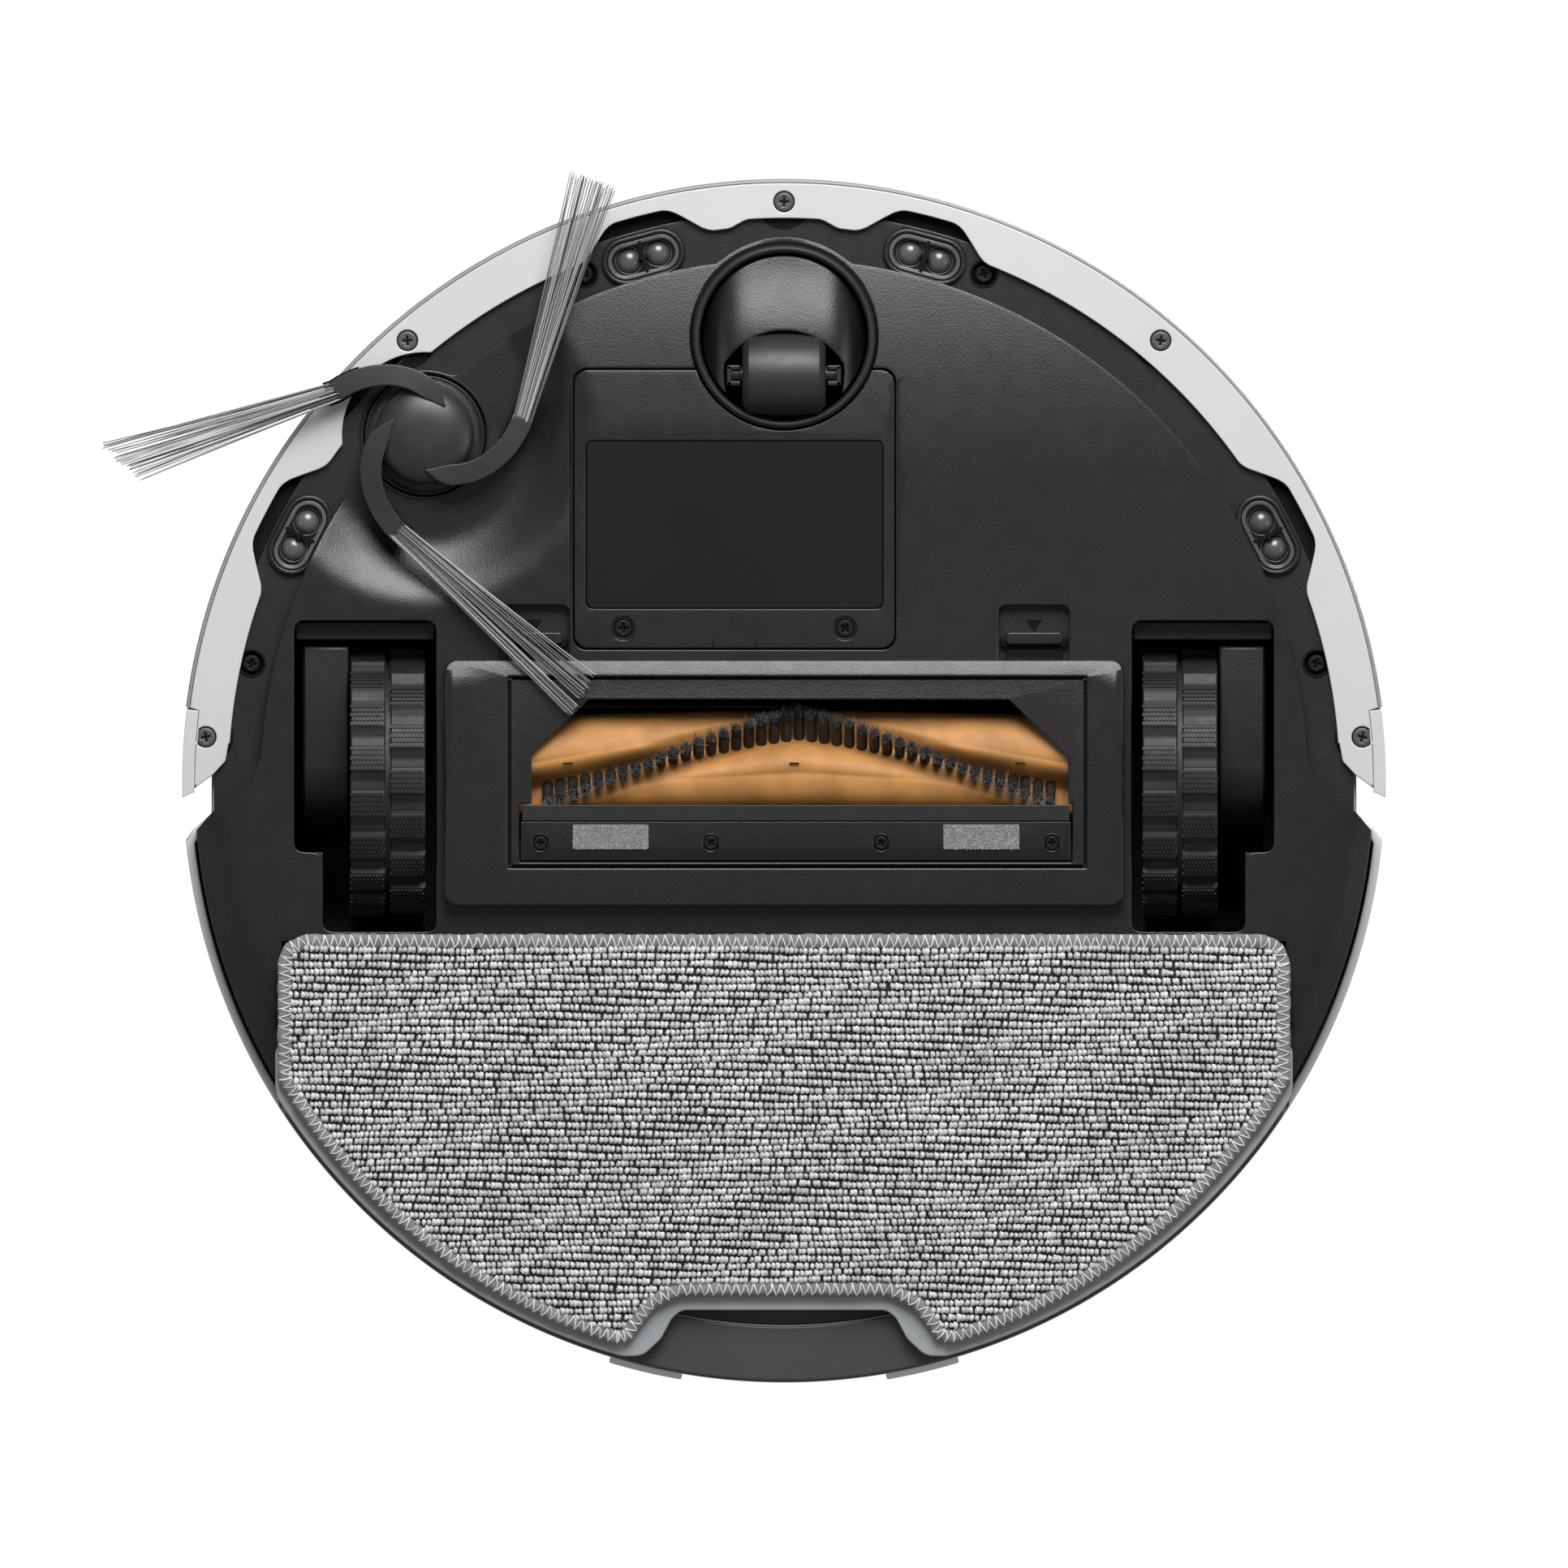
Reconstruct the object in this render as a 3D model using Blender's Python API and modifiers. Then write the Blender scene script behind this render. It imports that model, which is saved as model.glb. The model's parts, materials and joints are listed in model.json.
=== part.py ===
"""Robot vacuum with a mop, built as separate named pieces. Metres, +Z up, front towards -Y.

Bearings are degrees round the body's axis, counted from the front (-Y) towards +X.
"""

from math import asin, cos, degrees, hypot, pi, radians, sin, sqrt

import bmesh
import bpy
from mathutils import Matrix, Vector

# The round body's axis, seen from the middle of the whole object's box.
BODY_AXIS = (0.0120, 0.0013, 0.0)

# Body
BUMPER_RADIUS = 0.1750
HOUSING_RADIUS = 0.1745
FRONT_WALL_RADIUS = 0.1646
WING_RADIUS = 0.1712
FLANGE_RADIUS = 0.1652
BELLY_RADIUS = 0.1519
BELLY_Z = 0.0110
FLOOR_THICKNESS = 0.0025
CHASSIS_TOP = 0.0206
FLANGE_Z = 0.0180
DECK_Z = 0.0795
COVER_Z = 0.0823
COVER_TOP = 0.0853
WALL = 0.0025
GAP = 0.0003

# Running gear
WHEEL_X = 0.1150
WHEEL_RADIUS = 0.0388
WHEEL_WIDTH = 0.0217
CLEATS = 18
ARM_PIVOT = (-0.0340, 0.0520)
AXLE_RADIUS = 0.0030
BORE_RADIUS = 0.00306
CASTER = (0.0, -0.1292)
CASTER_WHEEL_Y = -0.1183
CASTER_WHEEL_RADIUS = 0.0120

# Brushes
ROLLER_X = 0.0044
ROLLER_Y = -0.0045
ROLLER_Z = 0.0233
ROLLER_HALF_LENGTH = 0.0840
ROLLER_RADIUS = 0.0158
BRISTLE_ROOT = 0.0150
BRISTLE_TIP = 0.0203
TUFTS = 41
TUFT_PITCH = 0.00365
HUB = (-0.1043, -0.1006)
SIDE_TUFT_REACH = 0.0890
SIDE_ARM_REACH = 0.0290
# Each side tuft: direction of its tip from the hub, direction of its bristles, slant of its cut end
SIDE_TIPS = ((175.0, 162.0, 0.0080), (-57.0, -74.0, -0.0010), (59.0, 42.0, 0.0030))

# Front sensors: the bearing of each, on a circle of this radius
SENSOR_RADIUS = 0.1577
SENSORS = {"left_side": -63.0, "left_front": -15.0, "right_front": 15.0, "right_side": 63.0}

# Under the body
PAD_THICKNESS = 0.0040
PLATE_Z = 0.0043
PLATE_TOP = 0.0083
TANK_Z = 0.0088
TANK_TOP = 0.0361
GUARD_Z = 0.0052
GUARD_TOP = 0.0107

LIDAR = (0.0, -0.0620)
BIN_X = 0.0600
BIN_Y = (0.0520, 0.1180)

MATERIALS = {
    "white_plastic": ((0.78, 0.78, 0.79), 0.35, 0.0),
    "black_plastic": ((0.018, 0.018, 0.019), 0.50, 0.0),
    "dark_plastic": ((0.035, 0.035, 0.037), 0.40, 0.0),
    "grey_plastic": ((0.16, 0.17, 0.18), 0.45, 0.0),
    "tyre_rubber": ((0.022, 0.022, 0.023), 0.75, 0.0),
    "orange_rubber": ((0.62, 0.30, 0.09), 0.55, 0.0),
    "bristle": ((0.02, 0.02, 0.02), 0.70, 0.0),
    "pale_bristle": ((0.42, 0.42, 0.42), 0.50, 0.0),
    "mop_cloth": ((0.55, 0.55, 0.55), 0.95, 0.0),
    "sensor_lens": ((0.05, 0.05, 0.055), 0.10, 0.0),
    "contact_metal": ((0.78, 0.66, 0.56), 0.25, 1.0),
    "steel": ((0.60, 0.60, 0.61), 0.30, 1.0),
    "circuit_board": ((0.03, 0.16, 0.07), 0.50, 0.0),
    "battery_wrap": ((0.06, 0.10, 0.28), 0.45, 0.0),
}


# ---------------------------------------------------------------- outlines


def polar(radius, bearing, centre=(0.0, 0.0)):
    angle = radians(bearing)
    return (centre[0] + radius * sin(angle), centre[1] - radius * cos(angle))


def arc(radius, start, end, steps, centre=(0.0, 0.0)):
    """Points on an arc between two bearings, both ends included."""
    return [polar(radius, start + (end - start) * i / steps, centre) for i in range(steps + 1)]


def circle(radius, steps=32, centre=(0.0, 0.0)):
    return arc(radius, 0, 360, steps, centre)[:-1]


def band(inner, outer, start, end, steps):
    """A curved strip between two radii."""
    return arc(outer, start, end, steps) + arc(inner, end, start, steps)


def rectangle(x0, x1, y0, y1, radius=0.0, steps=3):
    """A rectangle, with its corners rounded when it has a radius."""
    if not radius:
        return [(x0, y0), (x1, y0), (x1, y1), (x0, y1)]
    corners = (
        (x1 - radius, y0 + radius, 0),
        (x1 - radius, y1 - radius, 90),
        (x0 + radius, y1 - radius, 180),
        (x0 + radius, y0 + radius, 270),
    )
    points = []
    for x, y, start in corners:
        points += arc(radius, start, start + 90, steps, (x, y))
    return points


def stadium(length, width, bearing, centre, steps=6):
    """A slot with round ends, its long side across the given bearing."""
    half = (length - width) / 2
    along = polar(half, bearing + 90)
    first = (centre[0] + along[0], centre[1] + along[1])
    second = (centre[0] - along[0], centre[1] - along[1])
    return (
        arc(width / 2, bearing, bearing + 180, steps, first)
        + arc(width / 2, bearing + 180, bearing + 360, steps, second)
    )


def mirrored(half):
    """Closes an outline given by its +X half, from front to rear."""
    return half + [(-x, y) for x, y in reversed(half) if abs(x) > 1e-7]


def flip(points):
    return [(-x, y) for x, y in reversed(points)]


def area(points):
    following = points[1:] + points[:1]
    return sum(a[0] * b[1] - b[0] * a[1] for a, b in zip(points, following)) / 2


def inset(points, distance):
    """Moves every side of an outline inwards; a negative distance moves it out."""
    turn = 1.0 if area(points) > 0 else -1.0
    moved = []
    for i, point in enumerate(points):
        before = Vector(point) - Vector(points[i - 1])
        after = Vector(points[(i + 1) % len(points)]) - Vector(point)
        first = Vector((-before.y, before.x)).normalized() * turn
        second = Vector((-after.y, after.x)).normalized() * turn
        middle = (first + second).normalized()
        reach = distance / max(middle.dot(first), 0.5)
        moved.append((point[0] + middle.x * reach, point[1] + middle.y * reach))
    return moved


def past_circle(bearing, centre, radius):
    """How far out a ray from the body's axis leaves a circle, or 0 where it misses."""
    along = Vector(polar(1.0, bearing))
    reach = along.dot(Vector(centre))
    offset = Vector(centre).length_squared - reach * reach
    if reach < 0 or offset > radius * radius:
        return 0.0
    return reach + sqrt(radius * radius - offset)


def between(table, value):
    """Straight-line interpolation in a table of (value, result) pairs."""
    for (low, first), (high, second) in zip(table, table[1:]):
        if low <= value <= high:
            return first + (second - first) * (value - low) / (high - low)
    return table[-1][1]


def wing_bearing(y, radius):
    return 90.0 + degrees(asin(y / radius))


# ---------------------------------------------------------------- modelling tools


def start_scene():
    for obj in list(bpy.data.objects):
        bpy.data.objects.remove(obj)
    collection = bpy.data.collections.new("robot_vacuum")
    bpy.context.scene.collection.children.link(collection)
    for name, (colour, roughness, metallic) in MATERIALS.items():
        material = bpy.data.materials.new(name)
        material.use_nodes = True
        shader = material.node_tree.nodes["Principled BSDF"]
        shader.inputs["Base Color"].default_value = (*colour, 1.0)
        shader.inputs["Roughness"].default_value = roughness
        shader.inputs["Metallic"].default_value = metallic


def add(name, mesh):
    """An object for a mesh, in the robot's collection."""
    obj = bpy.data.objects.new(name, mesh)
    bpy.data.collections["robot_vacuum"].objects.link(obj)
    return obj


def baked(obj):
    """Replaces an object by the mesh that its modifiers or its curve make."""
    name = obj.name
    graph = bpy.context.evaluated_depsgraph_get()
    mesh = bpy.data.meshes.new_from_object(obj.evaluated_get(graph))
    mesh.transform(obj.matrix_world)
    bpy.data.objects.remove(obj)
    shape = bmesh.new()
    shape.from_mesh(mesh)
    bmesh.ops.remove_doubles(shape, verts=shape.verts, dist=0.000002)
    bmesh.ops.dissolve_degenerate(shape, edges=shape.edges, dist=0.000002)
    bmesh.ops.recalc_face_normals(shape, faces=shape.faces)
    shape.to_mesh(mesh)
    shape.free()
    return add(name, mesh)


def plate(name, outlines, bottom, top, along="Z"):
    """Extrudes an outline with its holes. Along X, the outline's axes are Y and Z."""
    curve = bpy.data.curves.new(name, "CURVE")
    curve.dimensions = "2D"
    curve.fill_mode = "BOTH"
    curve.extrude = (top - bottom) / 2
    for points in outlines:
        spline = curve.splines.new("POLY")
        spline.points.add(len(points) - 1)
        for target, (x, y) in zip(spline.points, points):
            target.co = (x, y, 0.0, 1.0)
        spline.use_cyclic_u = True
    obj = add(name, curve)
    obj.matrix_world = Matrix.Translation((0, 0, (bottom + top) / 2))
    if along == "X":
        obj.matrix_world = Matrix(((0, 0, 1), (1, 0, 0), (0, 1, 0))).to_4x4() @ obj.matrix_world
    bpy.context.view_layer.update()
    return baked(obj)


def box(name, low, high):
    size = [b - a for a, b in zip(low, high)]
    middle = [(a + b) / 2 for a, b in zip(low, high)]
    shape = bmesh.new()
    place = Matrix.Translation(middle) @ Matrix.Diagonal((*size, 1.0))
    bmesh.ops.create_cube(shape, size=1.0, matrix=place)
    return from_shape(name, shape)


def from_shape(name, shape):
    mesh = bpy.data.meshes.new(name)
    shape.to_mesh(mesh)
    shape.free()
    return add(name, mesh)


AXES = {
    "X": Matrix.Rotation(pi / 2, 4, "Y"),
    "Y": Matrix.Rotation(-pi / 2, 4, "X"),
    "Z": Matrix.Identity(4),
}


def rod(name, radius, length, centre, along="Z", segments=24, end_radius=None):
    """A cylinder or a cone about its centre."""
    shape = bmesh.new()
    bmesh.ops.create_cone(
        shape,
        cap_ends=True,
        segments=segments,
        radius1=radius,
        radius2=radius if end_radius is None else end_radius,
        depth=length,
        matrix=Matrix.Translation(centre) @ AXES[along],
    )
    return from_shape(name, shape)


def turned(name, profile, centre, segments=32, along="Z"):
    """Turns a profile of (radius, height) pairs, listed from its top down the outer side."""
    shape = bmesh.new()
    points = [shape.verts.new((radius, 0.0, height)) for radius, height in profile]
    for first, second in zip(points, points[1:]):
        shape.edges.new((first, second))
    if profile[0][0] > 0:
        shape.edges.new((points[-1], points[0]))
    obj = from_shape(name, shape)
    obj.matrix_world = Matrix.Translation(centre) @ AXES[along]
    screw = obj.modifiers.new("Turn", "SCREW")
    screw.steps = segments
    screw.render_steps = segments
    screw.use_merge_vertices = True
    screw.merge_threshold = 0.00001
    bpy.context.view_layer.update()
    return baked(obj)


def coil(name, start, end, radius, wire, turns, along):
    """A compression spring between two points on its axis."""
    steps = turns * 7
    curve = bpy.data.curves.new(name, "CURVE")
    curve.dimensions = "3D"
    curve.bevel_depth = wire
    curve.bevel_resolution = 1
    curve.use_fill_caps = True
    spline = curve.splines.new("POLY")
    spline.points.add(steps)
    length = (Vector(end) - Vector(start)).length
    for i, point in enumerate(spline.points):
        angle = 2 * pi * turns * i / steps
        height = wire + (length - 2 * wire) * i / steps
        point.co = (radius * cos(angle), radius * sin(angle), height, 1.0)
    obj = add(name, curve)
    obj.matrix_world = Matrix.Translation(start) @ AXES[along]
    bpy.context.view_layer.update()
    return baked(obj)


def combine(obj, others, operation):
    """Cuts from an object or joins to it; the others are used up."""
    name = obj.name
    for other in others:
        modifier = obj.modifiers.new("Combine", "BOOLEAN")
        modifier.operation = operation
        modifier.solver = "EXACT"
        modifier.object = other
    bpy.context.view_layer.update()
    result = baked(obj)
    for other in others:
        bpy.data.objects.remove(other)
    result.name = name
    return result


def cut(obj, *others):
    return combine(obj, others, "DIFFERENCE")


def join(obj, *others):
    return combine(obj, others, "UNION")


def bevel_where(obj, test, width, segments=2):
    """Rounds the edges whose middle passes a test."""
    shape = bmesh.new()
    shape.from_mesh(obj.data)
    edges = [
        e for e in shape.edges
        if test((e.verts[0].co + e.verts[1].co) / 2) and e.calc_face_angle(0.0) > 0.6
    ]
    bmesh.ops.bevel(shape, geom=edges, offset=width, segments=segments, profile=0.5,
                    affect="EDGES", clamp_overlap=True)
    shape.to_mesh(obj.data)
    shape.free()
    return obj


def finish(obj, material, parent, origin=(0.0, 0.0, 0.0)):
    """Gives a piece its material, its origin and its parent."""
    obj.data.materials.clear()
    obj.data.materials.append(bpy.data.materials[material])
    obj.data.transform(Matrix.Translation(-Vector(origin)))
    obj.location = origin
    obj.parent = parent
    obj.data.shade_smooth()
    obj.data.set_sharp_from_angle(angle=radians(35))
    return obj


# ---------------------------------------------------------------- outlines of the body


def chassis_outline(wing_tip=0.0880):
    """The belly's edge: a circle that bulges round the side brush and the caster."""
    front = []
    for i in range(-29, 30):
        bearing = i * 3.0
        radius = max(
            BELLY_RADIUS,
            past_circle(bearing, HUB, 0.0190),
            past_circle(bearing, CASTER, 0.0290),
        )
        front.append(polar(radius, bearing))
    wing = [(0.1546, 0.0002), (0.1578, 0.0028), (0.1659, 0.0087)]
    wing += arc(WING_RADIUS, wing_bearing(0.0141, WING_RADIUS), wing_bearing(wing_tip, WING_RADIUS), 5)
    wing += [(0.1456, wing_tip), (0.1456, 0.0465)]
    return front + wing + flip(wing)


def housing_outline():
    """Set back behind the bumper at the front, full width at the rear."""
    rear = [(0.1659, -0.0010), (0.1659, 0.0091), (0.1717, 0.0141)]
    rear += arc(HOUSING_RADIUS, wing_bearing(0.0174, HOUSING_RADIUS), 180, 14)
    return mirrored(arc(FRONT_WALL_RADIUS, 0, 88, 14) + rear)


def well_outline(side, grow=0.0):
    """The opening round a drive wheel, narrower behind the gearbox."""
    points = [
        (0.1010, -0.0467),
        (0.1422, -0.0467),
        (0.1422, 0.0205),
        (0.1339, 0.0205),
        (0.1339, 0.0436),
        (0.1010, 0.0436),
    ]
    points = inset(points, -grow)
    return points if side > 0 else flip(points)


# ---------------------------------------------------------------- fixed body


def bottom_chassis(parent):
    outline = chassis_outline()
    holes = [
        well_outline(1),
        well_outline(-1),
        circle(0.0270, 24, CASTER),
        circle(0.0177, 20, HUB),
        rectangle(-0.0829, -0.0623, -0.0512, -0.0368),
        rectangle(0.0623, 0.0829, -0.0513, -0.0367),
    ]
    mouth = rectangle(-0.0812, 0.0898, -0.0265, 0.0175)
    body = plate("bottom_chassis", [outline, mouth] + holes, BELLY_Z, CHASSIS_TOP)
    hollow = plate("hollow", [inset(chassis_outline(0.0760), WALL)], BELLY_Z + FLOOR_THICKNESS, 0.0220)
    collars = [plate("collar", [inset(hole, -0.0018)], 0.0120, 0.0240) for hole in holes]
    boss = rod("dish_boss", 0.0420, 0.0300, (*HUB, 0.0180), segments=24)
    body = cut(body, cut(hollow, *collars, boss))
    slots = [stadium(0.0249, 0.0144, b, polar(SENSOR_RADIUS, b), 4) for b in SENSORS.values()]
    ring = arc(FLANGE_RADIUS, -90, 90, 40) + [(0.1655, 0.0105), (0.1550, 0.0105)]
    ring += arc(0.1505, 90, -90, 30) + [(-0.1550, 0.0105), (-0.1655, 0.0105)]
    flange = plate("flange", [ring], FLANGE_Z, CHASSIS_TOP - 0.0004)
    body = join(body, flange)
    pockets = [plate("slot", [slot], 0.0100, 0.0220) for slot in slots]
    battery = box("battery_opening", (-0.0612, -0.1199, 0.0100), (0.0324, -0.0384, 0.0140))
    dish = turned("dish", dish_profile(), (*HUB, 0.0), 28)
    shafts = [
        rod("caster_opening", 0.0270, 0.0400, (*CASTER, 0.0200), segments=24),
        rod("brush_opening", 0.0177, 0.0400, (*HUB, 0.0200), segments=20),
    ]
    body = cut(body, *pockets, *shafts, battery, dish)
    finish(body, "black_plastic", parent)


def dish_profile():
    """A shallow bowl, deepest at the side brush, that fades out on the belly."""
    reach, depth, steps = 0.0390, 0.0055, 4
    curve = [
        (reach * i / steps, BELLY_Z + depth * (0.5 + 0.5 * cos(pi * i / steps)) - 0.0001)
        for i in range(steps + 1)
    ]
    return curve + [(reach, 0.0050), (0.0, 0.0050)]


def upper_housing(parent):
    outline = housing_outline()
    openings = [
        circle(0.0300, 24, LIDAR),
        rectangle(-BIN_X - 0.0005, BIN_X + 0.0005, BIN_Y[0] - 0.0005, BIN_Y[1] + 0.0005),
        circle(0.0090, 12, (-0.0200, 0.0200)),
        circle(0.0090, 12, (0.0200, 0.0200)),
    ]
    body = plate("upper_housing", [outline] + openings, CHASSIS_TOP + GAP, COVER_Z - GAP)
    hollow = plate("hollow", [inset(outline, WALL)], 0.0100, DECK_Z)
    bay = box("tank_bay", (-0.1466, 0.0465, 0.0100), (0.1466, 0.1900, 0.0364))
    exhaust = [
        plate("slot", [band(0.1700, 0.1760, bearing, bearing + 0.9, 1)], 0.0480, 0.0680)
        for bearing in range(122, 137, 2)
    ]
    finish(cut(body, hollow, bay, *exhaust), "white_plastic", parent)


def cover_outline():
    """A disc, cut back beside the bumper's ends as the housing below it is."""
    front = arc(HOUSING_RADIUS, 0, 91.5, 18)
    notch = [(0.1662, -0.0020), (0.1662, 0.0092), (0.1718, 0.0142)]
    return mirrored(front + notch + arc(HOUSING_RADIUS, 95.6, 180, 17))


def top_cover(parent):
    openings = [
        circle(0.0405, 32, LIDAR),
        rectangle(-BIN_X - 0.0005, BIN_X + 0.0005, BIN_Y[0] - 0.0005, BIN_Y[1] + 0.0005, 0.004),
        circle(0.0083, 16, (-0.0200, 0.0200)),
        circle(0.0083, 16, (0.0200, 0.0200)),
    ]
    cover = plate("top_cover", [cover_outline()] + openings, COVER_Z, COVER_TOP)
    bevel_where(
        cover, lambda p: p.z > COVER_TOP - 1e-6 and hypot(p.x, p.y) > 0.17, 0.0015, 1
    )
    finish(cover, "white_plastic", parent)


def rear_frame(parent):
    """The tray over the water tank: a roof, with walls on the tank's front and sides."""
    side = wing_bearing(0.0880, 0.1714)
    roof = mirrored([(0.1480, 0.0449), (0.1480, 0.0850)] + arc(0.1714, side, 180, 16))
    frame = plate("rear_frame", [roof], 0.0367, 0.0390)
    half = [
        (0.1479, 0.0450),
        (0.1479, 0.0848),
        (0.1459, 0.0848),
        (0.1459, 0.0464),
    ]
    walls = plate("walls", [half + [(-x, y) for x, y in reversed(half)]], 0.0209, 0.0380)
    finish(join(frame, walls), "black_plastic", parent)


def battery(parent):
    cover = plate("battery_cover", [rectangle(-0.0609, 0.0321, -0.1196, -0.0387, 0.004)], 0.0109, 0.0132)
    recess = plate("recess", [rectangle(-0.0575, 0.0288, -0.0990, -0.0502, 0.0015)], 0.0100, 0.0113)
    socket = rod("socket_cut", 0.0270, 0.0200, (*CASTER, 0.0120), segments=32)
    screws = [rod("screw_seat", 0.0034, 0.0030, (x, -0.0445, 0.0107), segments=16)
              for x in (-0.0467, 0.0177)]
    finish(cut(cover, recess, socket, *screws), "black_plastic", parent)
    pack = box("battery_pack", (-0.0560, -0.0990, 0.0150), (0.0270, -0.0540, 0.0560))
    bevel_where(pack, lambda p: abs(p.z - 0.0355) < 0.001, 0.0060, 3)
    finish(pack, "battery_wrap", parent)


def caster_socket(parent):
    profile = [
        (0.0040 + 0.00006, 0.0400),
        (0.0266, 0.0400),
        (0.0266, 0.0104),
        (0.0258, 0.0096),
        (0.0252, 0.0096),
        (0.0244, 0.0104),
        (0.0244, 0.0375),
        (0.0040 + 0.00006, 0.0375),
    ]
    finish(turned("caster_socket", profile, (*CASTER, 0.0), 28), "black_plastic", parent)


def side_brush_gearbox(parent):
    profile = [
        (0.0, 0.0450),
        (0.0155, 0.0450),
        (0.0155, 0.0200),
        (0.0172, 0.0200),
        (0.0172, 0.0160),
        (0.0157, 0.0148),
        (BORE_RADIUS, 0.0148),
        (BORE_RADIUS, 0.0330),
        (0.0, 0.0330),
    ]
    case = turned("side_brush_gearbox", profile, (*HUB, 0.0), 24)
    x, y = HUB
    motor = box("motor", (x - 0.0050, y + 0.0120, 0.0230), (x + 0.0150, y + 0.0420, 0.0430))
    finish(join(case, motor), "dark_plastic", parent)


def brush_housing(parent):
    """An arched trough over the roller, closed at both ends, with a duct to the bin."""
    x0, x1 = -0.0812, 0.0898
    middle = (x0 + x1) / 2
    axis = (ROLLER_Y, ROLLER_Z)
    outer = [(0.0198, 0.0138), (0.0330, 0.0138), (0.0330, 0.0162), (0.0198, 0.0162)]
    outer += arch(0.0243, 0, 180, axis)
    outer += [(-0.0288, 0.0162), (-0.0340, 0.0162), (-0.0340, 0.0138), (-0.0288, 0.0138)]
    inner = [(-0.0263, 0.0136)] + arch(0.0218, 180, 0, axis) + [(0.0173, 0.0136)]
    trough = plate("brush_housing", [outer + inner], x0, x1, "X")
    ends = [
        box("end", (x0 - 0.0030, -0.0286, 0.0139), (x0 + 0.0004, 0.0196, 0.0450)),
        box("end", (x1 - 0.0004, -0.0286, 0.0139), (x1 + 0.0030, 0.0196, 0.0450)),
    ]
    duct = box("duct", (-0.0300, 0.0100, 0.0330), (0.0400, 0.0440, 0.0560))
    trough = join(trough, *ends, duct)
    passage = box("passage", (-0.0280, 0.0080, 0.0350), (0.0380, 0.0500, 0.0540))
    bore = rod("bore", 0.0218, x1 - x0 - 0.0010, (middle, *axis), "X", 32)
    pins = rod("bearing", BORE_RADIUS, x1 - x0 + 0.0200, (middle, *axis), "X", 16)
    finish(cut(trough, passage, bore, pins), "black_plastic", parent)


def arch(radius, start, end, centre, steps=9):
    """Points on an arc in the YZ plane, in degrees up from +Y."""
    angles = [radians(start + (end - start) * i / steps) for i in range(steps + 1)]
    return [(centre[0] + radius * cos(a), centre[1] + radius * sin(a)) for a in angles]


def brush_motor(parent):
    motor = rod("brush_motor", 0.0090, 0.0400, (0.0660, -0.0330, 0.0580), "X", 24)
    shaft = rod("shaft", 0.0020, 0.0080, (0.0890, -0.0330, 0.0580), "X", 12)
    finish(join(motor, shaft), "steel", parent)


def main_board(parent):
    board = plate("main_board", [rectangle(-0.0850, 0.0850, -0.0180, 0.0440, 0.003)], 0.0700, 0.0716)
    chips = [
        box("chip", (x - s, y - s, 0.0714), (x + s, y + s, 0.0732))
        for x, y, s in ((-0.040, 0.010, 0.008), (0.010, 0.012, 0.010), (0.055, 0.015, 0.006))
    ]
    finish(join(board, *chips), "circuit_board", parent)


def fan(parent):
    centre = (0.1000, 0.0820)
    wall = [
        (0.0090, 0.0740),
        (0.0300, 0.0740),
        (0.0300, 0.0393),
        (0.0025 + 0.00006, 0.0393),
        (0.0025 + 0.00006, 0.0413),
        (0.0280, 0.0413),
        (0.0280, 0.0720),
        (0.0090, 0.0720),
    ]
    case = turned("fan_housing", wall, (*centre, 0.0), 24)
    outlet = box("outlet", (0.1150, 0.0760, 0.0480), (0.1400, 0.0980, 0.0660))
    finish(cut(case, outlet), "dark_plastic", parent)
    hub = [
        (0.0, 0.0690),
        (0.0080, 0.0660),
        (0.0240, 0.0480),
        (0.0240, 0.0460),
        (0.0025, 0.0460),
        (0.0025, 0.0400),
        (0.0, 0.0400),
    ]
    wheel = turned("fan_impeller", hub, (*centre, 0.0), 24)
    blades = []
    for i in range(7):
        blade = box("blade", (0.0060, -0.0006, 0.0470), (0.0235, 0.0006, 0.0680))
        turn = Matrix.Rotation(2 * pi * i / 7, 4, "Z")
        blade.data.transform(Matrix.Translation((*centre, 0.0)) @ turn)
        blades.append(blade)
    finish(join(wheel, *blades), "grey_plastic", parent, (*centre, 0.0580))


def charging_contacts(parent):
    for name, sign in (("charging_contact_left", -1), ("charging_contact_right", 1)):
        start, end = 180 - 16.8, 180 - 9.75
        shape = band(0.1748, 0.1756, start, end, 5)
        contact = plate(name, [shape if sign > 0 else flip(shape)], 0.0440, 0.0580)
        finish(contact, "contact_metal", parent)


def cliff_sensors(parent):
    for name, bearing in SENSORS.items():
        centre = polar(SENSOR_RADIUS, bearing)
        outline = stadium(0.0243, 0.0138, bearing, centre, 4)
        window = plate("cliff_sensor_" + name, [outline], 0.0178, 0.0205)
        domes = []
        for side in (-1, 1):
            along = polar(0.00395 * side, bearing + 90)
            spot = (centre[0] + along[0], centre[1] + along[1], 0.0170)
            domes.append(rod("seat", 0.0030, 0.0026, spot, segments=8))
        finish(cut(window, *domes), "sensor_lens", parent)


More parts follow.
